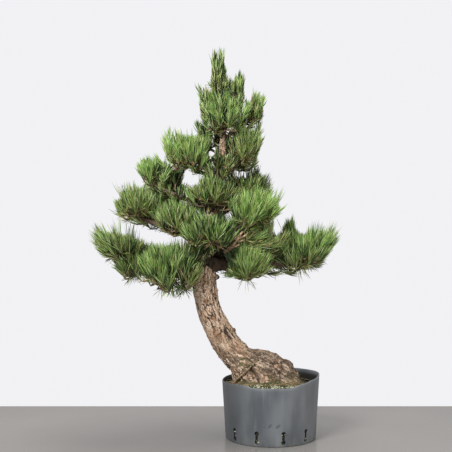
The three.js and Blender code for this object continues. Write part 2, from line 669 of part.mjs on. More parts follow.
// A twig and its shoot as one tube, with a needle raised on each face of the shoot and one
// on its end
function shootSolid(shoot, needle, narrow, chance) {
  const twigBands = shoot.wood.length;
  const bands = twigBands + NEEDLE_BANDS;
  const radiusAt = (share) => {
    const band = Math.round(share * bands) - twigBands;
    return band < 0 ? TWIG_RADIUS : lerp(CORE_RADIUS, CORE_TIP_RADIUS, band / NEEDLE_BANDS);
  };
  const tube = merged(sweep(new ShootLine(shoot), radiusAt, SHOOT_SIDES, bands, Math.PI / SHOOT_SIDES));
  const corner = (i) => new THREE.Vector3().fromBufferAttribute(tube.attributes.position, i);
  const ringOf = (i) => tube.attributes.along.getX(i);
  const points = [...tube.attributes.position.array];
  const faces = [];
  for (let i = 0; i < tube.index.count; i += 3) {
    const [a, b, c] = [0, 1, 2].map((k) => tube.index.getX(i + k));
    const low = Math.min(ringOf(a), ringOf(b), ringOf(c));
    const high = Math.max(ringOf(a), ringOf(b), ringOf(c));
    let tip = null;
    if (low >= twigBands && high > low) {
      const foot = corner(a).add(corner(b)).add(corner(c)).divideScalar(3);
      tip = needleTip(shoot, foot, needle, narrow, chance);
    }
    if (tip) {
      const peak = points.push(tip.x, tip.y, tip.z) / 3 - 1;
      faces.push(a, b, peak, b, c, peak, c, a, peak);
    } else {
      faces.push(a, b, c);
    }
  }
  for (let i = 0; i < tube.attributes.position.count; i += 1) {
    if (ringOf(i) === bands && corner(i).distanceTo(shoot.tip) < CORE_TIP_RADIUS / 2) {
      const length = clearLength(shoot.tip, shoot.way, needle, shoot);
      const peak = shoot.tip.clone().addScaledVector(shoot.way, Math.max(length, CORE_TIP_REACH));
      points.splice(3 * i, 3, peak.x, peak.y, peak.z);
    }
  }
  const geometry = new THREE.BufferGeometry();
  geometry.setAttribute("position", new THREE.Float32BufferAttribute(points, 3));
  geometry.setIndex(faces);
  return solidOf(geometry);
}

function massSolid(name, trunkRoom) {
  const mass = MASSES[name];
  const stem = stems[name];
  const chance = seeded(name, 1);
  const radiusAt = (share) => lerp(stem.radius, STEM_HEART_RADIUS, share);
  let body = solidOf(sweep(stem.curve, radiusAt, STEM_SIDES, STEM_RINGS));
  for (const shoot of shoots.filter((one) => one.name === name)) {
    body = body.add(shootSolid(shoot, mass.needle, mass.narrow ?? 1, chance));
  }
  return mass.stem ? body.subtract(trunkRoom) : body;
}

const trunkRoom = trunkSolid(GAP);
addNode("pot", potSolid(), PLASTIC);
addNode("soil", soilSolid(trunkRoom), SOIL);
addNode("trunk", trunkSolid(), BARK);
for (const [name, { from }] of Object.entries(LIMBS)) {
  const parentRoom = from === "trunk" ? trunkRoom : trunkRoom.add(limbSolid(from, GAP));
  addNode(`bough_${name}`, limbSolid(name).subtract(parentRoom), BARK);
}
for (const name of Object.keys(MASSES)) {
  addNode(`foliage_${name}`, massSolid(name, trunkRoom), NEEDLES);
}

export default tree;
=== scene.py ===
import math
from collections import namedtuple

import bpy
import numpy as np
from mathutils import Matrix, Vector


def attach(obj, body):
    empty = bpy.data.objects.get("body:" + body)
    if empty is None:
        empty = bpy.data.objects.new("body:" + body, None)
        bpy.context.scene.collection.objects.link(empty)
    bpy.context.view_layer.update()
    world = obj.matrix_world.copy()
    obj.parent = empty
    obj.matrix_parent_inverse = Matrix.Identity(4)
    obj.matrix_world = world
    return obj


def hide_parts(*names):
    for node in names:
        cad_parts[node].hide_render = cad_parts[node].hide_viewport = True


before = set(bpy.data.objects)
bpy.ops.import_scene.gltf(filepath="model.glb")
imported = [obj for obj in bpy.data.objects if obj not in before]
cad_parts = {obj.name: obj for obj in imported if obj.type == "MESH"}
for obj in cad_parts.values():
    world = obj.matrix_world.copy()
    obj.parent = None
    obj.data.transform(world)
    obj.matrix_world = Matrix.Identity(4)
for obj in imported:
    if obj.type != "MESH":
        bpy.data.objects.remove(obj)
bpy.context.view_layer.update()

# Camera: level with the middle of the tree and two metres in front of the pot, with a
# short telephoto lens, so that the far edge of the table shows low in the frame.
CAMERA_PLACE = (-0.1094, -2.160, 0.5166)
CAMERA_LENS = 70
CAMERA_SENSOR = 36
lens = bpy.data.cameras.new("camera")
lens.lens = CAMERA_LENS
lens.sensor_width = CAMERA_SENSOR
camera = bpy.data.objects.new("camera", lens)
camera.location = CAMERA_PLACE
camera.rotation_euler = (math.radians(90), 0, 0)
bpy.context.scene.collection.objects.link(camera)
bpy.context.scene.camera = camera

# Studio: a pale satin table top whose far edge lies just behind the pot, before an empty
# pale backdrop. A large soft light hangs at the upper left, a weaker one at the right and a
# third overhead.
TABLE_BACK = 0.362
TABLE_REACH = 3.0
TABLE_DROP = 0.0005
TABLE_CLOUD = 0.35
TABLE_DARK = (0.188, 0.178, 0.166)
TABLE_PALE = (0.231, 0.219, 0.206)
BACKDROP = (0.885, 0.885, 0.91, 1)
# The camera sees the backdrop at full strength, and the room lights the tree with this share
ROOM_LIGHT = 0.43
# Place, size and watts of each light, and the place that they all face
LIGHTS = {
    "key": ((-1.5, -2.2, 2.1), 1.0, 122),
    "fill": ((2.1, -1.9, 1.3), 1.6, 34),
    "top": ((0.2, 0.3, 2.5), 1.2, 52),
}
AIM = Vector((-0.1, 0.0, 0.5))
MM = 0.001
scene = bpy.context.scene
scene.view_settings.view_transform = "Standard"
scene.world = bpy.data.worlds.new("studio")
scene.world.use_nodes = True
studio = scene.world.node_tree
backdrop = studio.nodes["Background"]
backdrop.inputs["Color"].default_value = BACKDROP
light_path = studio.nodes.new("ShaderNodeLightPath")
strength = studio.nodes.new("ShaderNodeMapRange")
strength.inputs["To Min"].default_value = ROOM_LIGHT
strength.inputs["To Max"].default_value = 1.0
studio.links.new(light_path.outputs["Is Camera Ray"], strength.inputs["Value"])
studio.links.new(strength.outputs["Result"], backdrop.inputs["Strength"])
for name, (place, size, watts) in LIGHTS.items():
    lamp = bpy.data.lights.new(name, "AREA")
    lamp.size = size
    lamp.energy = watts
    holder = bpy.data.objects.new(name, lamp)
    holder.location = place
    holder.rotation_euler = (holder.location - AIM).to_track_quat("Z", "Y").to_euler()
    scene.collection.objects.link(holder)


class Wire:
    """What one socket of a finish gives, so that shader maths reads as plain sums."""

    def __init__(self, finish, socket):
        self.finish = finish
        self.socket = socket

    def wide(self):
        return self.socket.type in ("RGBA", "VECTOR")

    def maths(self, operation, first, second):
        pair = (first, second)
        kind = "ShaderNodeMath"
        if any(w.wide() if isinstance(w, Wire) else isinstance(w, tuple) for w in pair):
            pair = [(w, w, w) if isinstance(w, (int, float)) else w for w in pair]
            kind = "ShaderNodeVectorMath"
        return self.finish.node(kind, {"operation": operation}, dict(enumerate(pair)))

    def __add__(self, other):
        return self.maths("ADD", self, other)

    def __sub__(self, other):
        return self.maths("SUBTRACT", self, other)

    def __mul__(self, other):
        return self.maths("MULTIPLY", self, other)

    def __pow__(self, other):
        return self.maths("POWER", self, other)

    def __rsub__(self, other):
        return self.maths("SUBTRACT", other, self)

    __radd__ = __add__
    __rmul__ = __mul__


class Finish:
    """One finish of the pot, the soil or the tree: fixed values, and what varies over it."""

    def __init__(self, name, **fixed):
        self.material = bpy.data.materials.new(name)
        self.material.use_nodes = True
        self.shader = self.material.node_tree.nodes["Principled BSDF"]
        for socket, value in fixed.items():
            self.shader.inputs[socket.replace("_", " ")].default_value = value
        self.place = self.node("ShaderNodeTexCoord", output="Object")

    def node(self, kind, settings=None, inputs=None, output=0):
        """Any other node: its type, its settings, and the values or links of its sockets."""
        node = self.material.node_tree.nodes.new(kind)
        for name, value in (settings or {}).items():
            setattr(node, name, value)
        for name, value in (inputs or {}).items():
            if isinstance(value, Wire):
                self.material.node_tree.links.new(value.socket, node.inputs[name])
            else:
                node.inputs[name].default_value = value
        return Wire(self, node.outputs[output])

    def along(self, axis):
        """How far each place lies along one axis, in metres."""
        return self.node("ShaderNodeSeparateXYZ", inputs={0: self.place}, output=axis)

    def noise(self, place, size, detail=3, rough=0.6):
        """Soft blotches of about this size in metres, as a value round one half."""
        inputs = {"Vector": place, "Scale": 1 / size, "Detail": detail, "Roughness": rough}
        return self.node("ShaderNodeTexNoise", inputs=inputs, output="Fac")

    def between(self, value, low, high):
        """Nothing below low, all above high, and a smooth rise between them."""
        inputs = {"Value": value, "From Min": low, "From Max": high}
        return self.node("ShaderNodeMapRange", {"interpolation_type": "SMOOTHSTEP"}, inputs)

    def mix(self, first, second, share):
        """The first colour, giving way to the second as the share grows."""
        pair = [colour + (1,) if isinstance(colour, tuple) else colour for colour in (first, second)]
        inputs = {0: share, 6: pair[0], 7: pair[1]}
        return self.node("ShaderNodeMix", {"data_type": "RGBA"}, inputs, output=2)

    def layered(self, colour, *layers):
        """The colour with others laid over it in turn, each as its share grows."""
        for tint, share in layers:
            colour = self.mix(colour, tint, share)
        return colour

    def stored(self, name):
        """A value that the mesh holds for each of its corners."""
        return self.node("ShaderNodeAttribute", {"attribute_name": name}, output="Fac")

    def feed(self, socket, wire):
        self.material.node_tree.links.new(wire.socket, self.shader.inputs[socket])

    def relief(self, height, depth):
        """Fine relief, whose full height stands this many metres high."""
        inputs = {"Height": height, "Distance": depth, "Strength": 1.0}
        self.feed("Normal", self.node("ShaderNodeBump", inputs=inputs, output="Normal"))


def store(mesh, values):
    """Values for each corner of a mesh, kept on it for its finish to read."""
    for key, value in values.items():
        layer = mesh.attributes.new(key, "FLOAT", "POINT")
        layer.data.foreach_set("value", np.asarray(value, np.float32))


def mesh_of(name, points, faces, values=None, smooth=True):
    """A mesh from corners in millimetres and groups of faces with as many sides each."""
    mesh = bpy.data.meshes.new(name)
    points = np.asarray(points, np.float32) * MM
    corners = np.concatenate([np.asarray(group, np.int32).ravel() for group in faces])
    sides = np.concatenate([np.full(len(group), group.shape[1]) for group in faces])
    starts = np.concatenate([[0], np.cumsum(sides)[:-1]]).astype(np.int32)
    mesh.vertices.add(len(points))
    mesh.vertices.foreach_set("co", points.ravel())
    mesh.loops.add(len(corners))
    mesh.loops.foreach_set("vertex_index", corners)
    mesh.polygons.add(len(sides))
    mesh.polygons.foreach_set("loop_start", starts)
    mesh.polygons.foreach_set("use_smooth", np.full(len(sides), smooth))
    store(mesh, values or {})
    mesh.update(calc_edges=True)
    mesh.validate()
    return mesh


def piece(name, mesh, finish, slot, *nodes):
    """A finished piece in its place on the tree, which stands for these CAD nodes."""
    made = bpy.data.objects.new(name, mesh)
    scene.collection.objects.link(made)
    mesh.materials.clear()
    mesh.materials.append(finish.material)
    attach(made, "root")
    if nodes:
        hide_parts(*nodes)


table = Finish("table_top", Roughness=0.2)
cloudy = table.noise(table.place, TABLE_CLOUD, detail=4)
table.feed("Base Color", table.mix(TABLE_DARK, TABLE_PALE, cloudy))
table_corners = np.array([
    (-TABLE_REACH, -TABLE_REACH, -TABLE_DROP), (TABLE_REACH, -TABLE_REACH, -TABLE_DROP),
    (TABLE_REACH, TABLE_BACK, -TABLE_DROP), (-TABLE_REACH, TABLE_BACK, -TABLE_DROP),
]) / MM
table_mesh = mesh_of("table_top", table_corners, [np.array([[0, 1, 2, 3]])])
table_mesh.materials.append(table.material)
table_top = bpy.data.objects.new("table_top", table_mesh)
scene.collection.objects.link(table_top)


# Pot: a thin tub of grey moulded plastic with dumb-bell slots round its foot for the air and
# the drain. Its rim was cut down by hand, so it is wavy, and lime from the watering has run
# down it in faint upright streaks.
POT_FOOT_RADIUS = 110.4
POT_RIM_RADIUS = 119
POT_FULL_HEIGHT = 150
POT_WALL = 3
POT_FLOOR = 4
POT_FOOT_ROUND = 1.4
POT_COLUMNS = 286
POT_OUTER_ROWS = 22
POT_INNER_ROWS = 14
POT_WARP = 0.5
POT_WARP_TURN = 0.7
POT_CREASE = 38
# Rings of the underside as shares of the foot, and degrees round the foot's and the lip's arcs
UNDERSIDE_RINGS = (0.3, 0.6, 0.85, 0.97)
FOOT_ARC = (10, 35, 60, 90)
LIP_ARC = (30, 60, 90, 120, 150)
# How high the rim was cut at each direction in degrees
RIM_CUT = [
    (0, 156), (50, 153), (100, 147), (150, 141), (180, 139),
    (208, 141), (231, 143), (248, 138), (288, 138), (308, 145), (325, 150), (360, 156),
]
# How sharply the worn, painted-highlit edge ends below the rim, and how fast painted shade darkens the
# inside
WORN_EDGE = 24
INSIDE_SHADE = 8
SLOT_COUNT = 11
SLOT_FIRST = -77
SLOT_FOOT = 5
SLOT_EYE_RADIUS = 5.5
SLOT_NECK = 3.4
SLOT_HEIGHT = 31
SLOT_ARC = 14
SLOT_CUT = 9
# Dark scuffs on the front of the wall: across, up, half their length, and tilt
POT_SCUFFS = ((-7, 50, 7, 50), (12, 49, 8, 38), (-20, 47, 3, 60), (34, 28, 4, 10))
SCUFF_WIDTH = 0.42
POT_COLOURS = {
    "dark": (0.07, 0.078, 0.087), "pale": (0.15, 0.16, 0.17), "lime": (0.24, 0.25, 0.25),
    "specks": (0.055, 0.058, 0.06), "dust": (0.16, 0.15, 0.125), "worn_and_highlit_lip": (0.2, 0.205, 0.21),
    "inside": (0.012, 0.011, 0.01), "painted_side_shade": (0.05, 0.054, 0.058), "scuff": (0.045, 0.047, 0.05),
}


def rim_height(angle):
    degrees = np.degrees(angle) % 360
    direction, height = np.array(RIM_CUT, float).T
    after = np.clip(np.searchsorted(direction, degrees, side="right"), 1, len(height) - 1)
    share = (degrees - direction[after - 1]) / (direction[after] - direction[after - 1])
    return height[after - 1] + (height[after] - height[after - 1]) * eased(share)


def pot_radius(height):
    return POT_FOOT_RADIUS + (POT_RIM_RADIUS - POT_FOOT_RADIUS) * height / POT_FULL_HEIGHT


def eased(value):
    """A value held between 0 and 1, with its rise from one to the other made gentle."""
    value = np.clip(value, 0, 1)
    return value * value * (3 - 2 * value)


def round_turns(count):
    return np.arange(count) * 2 * math.pi / count


def ring_at(turn, radius, height):
    return np.stack([np.cos(turn) * radius, np.sin(turn) * radius, height + 0 * turn], -1)


def shell_faces(rows, columns):
    """The faces between rings of corners, and of two caps whose middle points come last."""
    first = np.arange(columns)
    row, column = np.meshgrid(np.arange(rows - 1), first, indexing="ij")
    here = row * columns + column
    beside = row * columns + (column + 1) % columns
    groups = [np.stack([here, beside, beside + columns, here + columns], -1).reshape(-1, 4)]
    for cap, ring, step in ((0, first, -1), (1, first + (rows - 1) * columns, 1)):
        middle = np.full(columns, rows * columns + cap)
        groups.append(np.stack([middle, ring, np.roll(ring, -1)], -1)[:, ::step])
    return groups


def pot_mesh():
    turn = math.radians(SLOT_FIRST) + round_turns(POT_COLUMNS)
    rim = rim_height(turn)
    half = POT_WALL / 2
    rows = [(POT_FOOT_RADIUS * share, 0, 0) for share in UNDERSIDE_RINGS]
    for step in np.radians(FOOT_ARC):
        inset = POT_FOOT_ROUND * (1 - np.sin(step))
        rows.append((POT_FOOT_RADIUS - inset, POT_FOOT_ROUND * (1 - np.cos(step)), 0))
    for share in np.linspace(0, 1, POT_OUTER_ROWS)[1:]:
        height = POT_FOOT_ROUND + (rim - half - POT_FOOT_ROUND) * share
        rows.append((pot_radius(height), height, share ** WORN_EDGE))
    for step in np.radians(LIP_ARC):
        height = rim - half + half * np.sin(step)
        rows.append((pot_radius(height) - half + half * np.cos(step), height, 1))
    for share in np.linspace(1, 0, POT_INNER_ROWS):
        height = POT_FLOOR + (rim - half - POT_FLOOR) * share
        rows.append((pot_radius(height) - POT_WALL, height, -eased(INSIDE_SHADE - INSIDE_SHADE * share)))
    points = []
    edge = []
    for radius, height, cut in rows:
        warp = POT_WARP * np.sin(2 * turn + POT_WARP_TURN) * height / POT_FULL_HEIGHT
        points.append(ring_at(turn, radius + np.where(radius > POT_FOOT_RADIUS * 0.9, warp, 0), height))
        edge.append(np.full(POT_COLUMNS, cut))
    points = np.concatenate(points + [[(0, 0, 0), (0, 0, POT_FLOOR)]])
    faces = shell_faces(len(rows), POT_COLUMNS)
    return mesh_of("pot", points, faces, {"rim": np.concatenate(edge + [[0, 0]])})


def at_slot(slot, reach, across, up):
    """A place beside the middle of a slot, which lies this far out from the pot's middle."""
    turn = math.radians(SLOT_FIRST + 360 / SLOT_COUNT * slot)
    x = reach * math.cos(turn) - across * math.sin(turn)
    return np.stack([x, reach * math.sin(turn) + across * math.cos(turn), up], -1)


def slot_cutters():
    """All the slots as one set of solid keys: two round eyes joined by a narrower neck."""
    gape = math.acos(SLOT_NECK / SLOT_EYE_RADIUS)
    middles = (SLOT_FOOT + SLOT_EYE_RADIUS, SLOT_FOOT + SLOT_HEIGHT - SLOT_EYE_RADIUS)
    under = np.linspace(math.pi - gape, 2 * math.pi + gape, SLOT_ARC)
    over = np.linspace(-gape, math.pi + gape, SLOT_ARC)
    around = np.concatenate([under, over])
    across = SLOT_EYE_RADIUS * np.cos(around)
    up = SLOT_EYE_RADIUS * np.sin(around) + np.repeat(middles, SLOT_ARC)
    ring = np.arange(len(up))
    beside = np.roll(ring, -1)
    points, walls, caps = [], [], []
    for slot in range(SLOT_COUNT):
        start = 2 * slot * len(up)
        points += [at_slot(slot, POT_FOOT_RADIUS + reach, across, up) for reach in (-SLOT_CUT, SLOT_CUT)]
        walls.append(np.stack([ring, beside, beside + len(up), ring + len(up)], -1) + start)
        caps += [ring[None, ::-1] + start, ring[None] + start + len(up)]
    return mesh_of("slots", np.concatenate(points), walls + caps, smooth=False)


def worked(mesh, kind, **settings):
    """The mesh as one of Blender's modifiers leaves it."""
    body = bpy.data.objects.new("body", mesh)
    scene.collection.objects.link(body)
    modifier = body.modifiers.new("work", kind)
    for name, value in settings.items():
        setattr(modifier, name, value)
    made = bpy.data.meshes.new_from_object(body.evaluated_get(bpy.context.evaluated_depsgraph_get()))
    bpy.data.objects.remove(body)
    return made


plastic = Finish("pot_plastic", Specular_IOR_Level=0.45)
streaks = plastic.between(plastic.noise(plastic.place * (1, 1, 0.12), 0.014, detail=5), 0.5, 0.8)
broad = plastic.noise(plastic.place * (1, 1, 0.35), 0.06, detail=2)
specks = plastic.between(plastic.noise(plastic.place, 0.006, detail=5, rough=0.7), 0.66, 0.76)
dust = plastic.between(plastic.noise(plastic.place, 0.012), 0.4, 0.7)
dust = plastic.between(plastic.along("Z"), 0.03, 0.0) * dust
edge = plastic.stored("rim")
colour = plastic.layered(
    POT_COLOURS["dark"],
    (POT_COLOURS["pale"], plastic.between(broad, 0.3, 0.7)),
    (POT_COLOURS["lime"], streaks * 0.35),
    (POT_COLOURS["specks"], specks * 0.5),
    (POT_COLOURS["dust"], dust * 0.5),
    # The lip is painted lighter: worn cut plastic, and a painted highlight
    (POT_COLOURS["worn_and_highlit_lip"], plastic.between(edge, 0, 1) * 0.3),
    # Painted shade on the inner wall, nearly black below its top
    (POT_COLOURS["inside"], plastic.between(edge, 0, -0.7) * 0.95),
    # Painted shade on the left side of the wall
    (POT_COLOURS["painted_side_shade"], plastic.between(plastic.along("X"), -0.03, -0.1) * 0.72),
)
for across, up, half, tilt in POT_SCUFFS:
    turn = math.radians(tilt)
    away = plastic.place - (across * MM, -POT_RIM_RADIUS * MM, up * MM)
    far = 0
    lengthwise, crosswise = (math.cos(turn), 0, math.sin(turn)), (-math.sin(turn), 0, math.cos(turn))
    for way, reach in ((lengthwise, half), (crosswise, SCUFF_WIDTH * half)):
        inputs = {0: away, 1: way}
        beside = plastic.node("ShaderNodeVectorMath", {"operation": "DOT_PRODUCT"}, inputs, "Value")
        far = (beside * (1 / (reach * MM))) ** 2 + far
    colour = plastic.mix(colour, POT_COLOURS["scuff"], plastic.between(far, 1.3, 0.2) * 0.6)
plastic.feed("Base Color", colour)
plastic.feed("Roughness", 0.42 + 0.22 * streaks + 0.15 * dust)
plastic.relief(plastic.noise(plastic.place, 0.0016, detail=2) + 0.8 * specks, 0.00012)
slots = bpy.data.objects.new("slots", slot_cutters())
scene.collection.objects.link(slots)
pot = worked(pot_mesh(), "BOOLEAN", object=slots, solver="EXACT")
bpy.data.objects.remove(slots)
pot.set_sharp_from_angle(angle=math.radians(POT_CREASE))
piece("pot_tub", pot, plastic, "pot_plastic", "pot")


# Soil: damp gritty potting soil that the roots hold in a lump. It domes up round the trunk's
# foot and falls away inside the side walls, and moss and pale lichen have crept over it.
SOIL_CROWN = 140
SOIL_CROWN_RADIUS = 60
SOIL_SHOULDER = 137
SOIL_SHOULDER_RADIUS = 96
SOIL_EDGE = 134
SOIL_EDGE_RADIUS = 114
SOIL_SIDE_FALL = 7
SOIL_SINK = 13
SOIL_SINK_RADIUS = 72
SOIL_LUMP = 1.6
SOIL_LUMP_COUNT = 5
SOIL_LUMP_TURN = 9
SOIL_SMOOTH_RADIUS = 40
SOIL_COLUMNS = 260
SOIL_ROWS = 66
SOIL_SIDE_ROWS = 40
SOIL_GAP = 0.4
SOIL_FLOOR = POT_FLOOR + 0.5
# Height, size and row of chance numbers of the crumbs that lie on it
SOIL_CRUMBS = ((1.3, 14, 3), (0.9, 6, 4), (0.7, 2.6, 5))
MOSS_BANK = 5.5
MOSS_BANK_RADIUS = 62
BANK_SLOPE = 34
SOIL_COLOURS = {
    "dark": (0.012, 0.009, 0.006), "pale": (0.115, 0.084, 0.05), "green": (0.12, 0.13, 0.035),
    "painted_side_shade": (0.018, 0.015, 0.01), "below": (0.022, 0.02, 0.014),
}


def chance_at(cell, seed):
    """A fixed chance number from 0 to 1 for each whole-numbered cell of space."""
    x, y, z = (cell[..., k].astype(np.uint64) for k in range(3))
    mixed = x * np.uint64(374761393) + y * np.uint64(668265263) + z * np.uint64(1442695041)
    mixed = (mixed + np.uint64(seed * 97561 + 11)) & np.uint64(0xFFFFFFFF)
    for shift, factor in ((15, 2246822519), (13, 3266489917)):
        mixed = ((mixed ^ (mixed >> np.uint64(shift))) * np.uint64(factor)) & np.uint64(0xFFFFFFFF)
    return (mixed ^ (mixed >> np.uint64(16))).astype(float) / 2 ** 32


def swell(points, size, seed):
    """Smooth hills and hollows of about this size, between -1 and 1."""
    place = points / size
    cell = np.floor(place).astype(np.int64)
    part = eased(place - cell)
    total = np.zeros(points.shape[:-1])
    for corner in np.ndindex(2, 2, 2):
        weight = np.prod(np.where(corner, part, 1 - part), axis=-1)
        total += weight * chance_at(cell + np.array(corner), seed)
    return 2 * total - 1


def soil_height(x, y):
    """How high the soil lies, before its crumbs are added."""
    radius = np.hypot(x, y)
    angle = np.arctan2(y, x)
    stations = (0, SOIL_CROWN_RADIUS, SOIL_SHOULDER_RADIUS, POT_RIM_RADIUS - POT_WALL)
    height = np.interp(radius, stations, (SOIL_CROWN, SOIL_CROWN, SOIL_SHOULDER, SOIL_EDGE))
    fall = SOIL_SIDE_FALL * np.cos(angle) ** 2 * (radius / POT_RIM_RADIUS) ** 3
    fall = fall + SOIL_SINK * np.cos(angle) ** 4 * eased((radius - SOIL_SINK_RADIUS) / BANK_SLOPE)
    wave = np.sin(SOIL_LUMP_COUNT * angle + radius / SOIL_LUMP_TURN)
    return height - fall + SOIL_LUMP * wave * np.minimum(1, radius / SOIL_SMOOTH_RADIUS)


def crumbled_height(x, y):
    flat = np.stack([x, y, 0 * x], -1)
    crumbs = sum(height * swell(flat, size, seed) for height, size, seed in SOIL_CRUMBS)
    toward_front = np.clip(-y / np.maximum(np.hypot(x, y), 1), 0, 1) ** 3
    bank = MOSS_BANK * toward_front * eased((np.hypot(x, y) - MOSS_BANK_RADIUS) / BANK_SLOPE)
    return soil_height(x, y) + crumbs + bank - 0.6


def soil_mesh():
    turn = round_turns(SOIL_COLUMNS)
    edge_height = soil_height(np.cos(turn) * SOIL_EDGE_RADIUS, np.sin(turn) * SOIL_EDGE_RADIUS)
    edge = pot_radius(edge_height) - POT_WALL - SOIL_GAP
    rows = []
    for share in np.linspace(0, 1, SOIL_ROWS)[1:]:
        x = np.cos(turn) * edge * share
        y = np.sin(turn) * edge * share
        rows.append(np.stack([x, y, crumbled_height(x, y)], -1))
    top_edge = rows[-1][:, 2]
    for share in np.linspace(1, 0, SOIL_SIDE_ROWS)[1:]:
        height = SOIL_FLOOR + (top_edge - SOIL_FLOOR) * share
        wall = pot_radius(height) - POT_WALL - SOIL_GAP
        place = ring_at(turn, wall, height)
        rows.append(ring_at(turn, wall - 1.6 - 1.6 * swell(place, 7, 6) - 0.8 * swell(place, 3, 7), height))
    points = np.concatenate(rows + [[(0, 0, SOIL_CROWN), (0, 0, SOIL_FLOOR)]])
    return mesh_of("soil", points, [group[:, ::-1] for group in shell_faces(len(rows), SOIL_COLUMNS)])


earth = Finish("soil", Roughness=0.95)
grit = earth.noise(earth.place, 0.0042, detail=4, rough=0.75)
clods = earth.noise(earth.place, 0.02)
colour = earth.layered(
    SOIL_COLOURS["dark"],
    (SOIL_COLOURS["pale"], earth.between(grit, 0.44, 0.66)),
    (SOIL_COLOURS["green"], earth.between(clods + 0.35 * grit, 0.58, 0.78) * 0.8),
    # Painted shade on the right side of the bed, where it falls away inside the wall
    (SOIL_COLOURS["painted_side_shade"], earth.between(earth.along("X"), 0.055, 0.075) * 0.9),
)
colour = earth.mix(SOIL_COLOURS["below"], colour, earth.between(earth.along("Z"), 0.12, 0.13))
earth.feed("Base Color", colour)
earth.relief(grit, 0.0012)
piece("soil_bed", soil_mesh(), earth, "soil", "soil")


# Litter: what has grown and fallen on the soil. Cushions of moss round the foot, pale lichen
# crumbs along the front rim, dead needles, a few stones, and moss in the drain slots.
CUSHIONS = 60
CUSHION_BLADES = 86
CUSHION_SPREAD = (3, 9)
MOSS_REACH = 112
# Colour of each growth of moss, and the share of the blades that it takes
MOSS_TINTS = {"moss": ((0.052, 0.062, 0.018), 0.62), "dry_moss": ((0.145, 0.135, 0.06), 0.38)}
SLOT_MOSS = 7
SLOT_MOSS_RADIUS = 105.5
SLOT_CRUMB_REACH = 1.022
DEAD_NEEDLES = 420
DEAD_COLOUR = (0.26, 0.18, 0.095, 1)
LICHEN_COUNT = 360
LICHEN_TINTS = ((0.36, 0.38, 0.25), (0.62, 0.63, 0.50))
STONES = 170
STONE_TINTS = ((0.09, 0.075, 0.06), (0.24, 0.21, 0.18))
LUMP_FLATNESS = 0.7
LITTER_RADIUS = 113
FOOT_MIDDLE = (-6, -2)
FOOT_REACH = (64, 46)
BARE_SIDE = 60
BARE_SHARE = 0.85
# Rings of a blade: the share of its length, and its girth there
BLADE_RINGS = ((0.0, 0.85), (0.62, 1.0))


def unit(vector):
    return vector / np.linalg.norm(vector, axis=-1, keepdims=True)


def blades(foot, way, length, bend, radius, luck):
    """Three-sided blades from their feet: corners and faces for all of them at once."""
    count = len(foot)
    side = unit(np.cross(way, luck.normal(size=(count, 3))))
    over = np.cross(way, side)
    rings = []
    for share, girth in BLADE_RINGS:
        centre = foot + way * (length * share)[:, None] + bend * share ** 2
        for turn in (k * 2 * math.pi / 3 for k in range(3)):
            out = side * math.cos(turn) + over * math.sin(turn)
            rings.append(centre + out * (radius * girth)[:, None])
    rings.append(foot + way * length[:, None] + bend)
    points = np.stack(rings, 1)
    faces = [(0, 2, 1)]
    for a, b in ((0, 1), (1, 2), (2, 0)):
        faces += [(a, b, b + 3), (a, b + 3, a + 3)]
    faces += [(3 + k, 3 + (k + 1) % 3, 6) for k in range(3)]
    start = np.arange(count)[:, None, None] * points.shape[1]
    return points.reshape(-1, 3), (np.array(faces)[None] + start).reshape(-1, 3)


def lumps(middles, radii, luck):
    """Small uneven pebbles with twenty faces each."""
    gold = (1 + math.sqrt(5)) / 2
    corners = []
    for order in ((2, 0, 1), (0, 1, 2), (1, 2, 0)):
        corners += [np.array((a, b * gold, 0))[list(order)] for a in (-1, 1) for b in (-1, 1)]
    corners = unit(np.array(corners, float))
    faces = []
    for i in range(12):
        for j in range(i + 1, 12):
            for k in range(j + 1, 12):
                trio = corners[[i, j, k]]
                if max(np.linalg.norm(trio - np.roll(trio, 1, 0), axis=1)) < 1.1:
                    out = np.dot(np.cross(trio[1] - trio[0], trio[2] - trio[0]), trio[0]) > 0
                    faces.append((i, j, k) if out else (i, k, j))
    shape = corners[None] * luck.uniform(0.7, 1.2, (len(middles), 12, 1))
    shape = shape * (1, 1, LUMP_FLATNESS) * np.asarray(radii)[:, None, None]
    start = np.arange(len(middles))[:, None, None] * 12
    return (middles[:, None] + shape).reshape(-1, 3), (np.array(faces)[None] + start).reshape(-1, 3)


def on_soil(count, luck, front=0.0, rim=0.0, spread=0.75):
    """Chance places on the soil beside the tree's foot, drawn to the front and to the rim."""
    found = []
    while len(found) < count:
        if luck.uniform() < front:
            angle = luck.normal(-math.pi / 2, spread)
        else:
            angle = luck.uniform(-math.pi, math.pi)
        radius = LITTER_RADIUS * math.sqrt(luck.uniform(rim, 1))
        x, y = radius * math.cos(angle), radius * math.sin(angle)
        beside = math.hypot((x - FOOT_MIDDLE[0]) / FOOT_REACH[0], (y - FOOT_MIDDLE[1]) / FOOT_REACH[1])
        bare = x > BARE_SIDE and luck.uniform() < BARE_SHARE
        if beside > 0.95 and not bare:
            found.append((x, y))
    x, y = np.array(found).T
    return np.stack([x, y, crumbled_height(x, y)], -1)


def faceted(name, corners_and_faces, finish, slot, *nodes):
    """A finished piece of many small flat faces."""
    points, faces = corners_and_faces
    piece(name, mesh_of(name, points, [faces], smooth=False), finish, slot, *nodes)


def flecked(name, tints, size, low, high, detail=3, **fixed):
    """A finish whose second colour shows through its first in flecks, and the flecks."""
    finish = Finish(name, **fixed)
    flecks = finish.between(finish.noise(finish.place, size, detail), low, high)
    finish.feed("Base Color", finish.mix(*tints, flecks))
    return finish, flecks


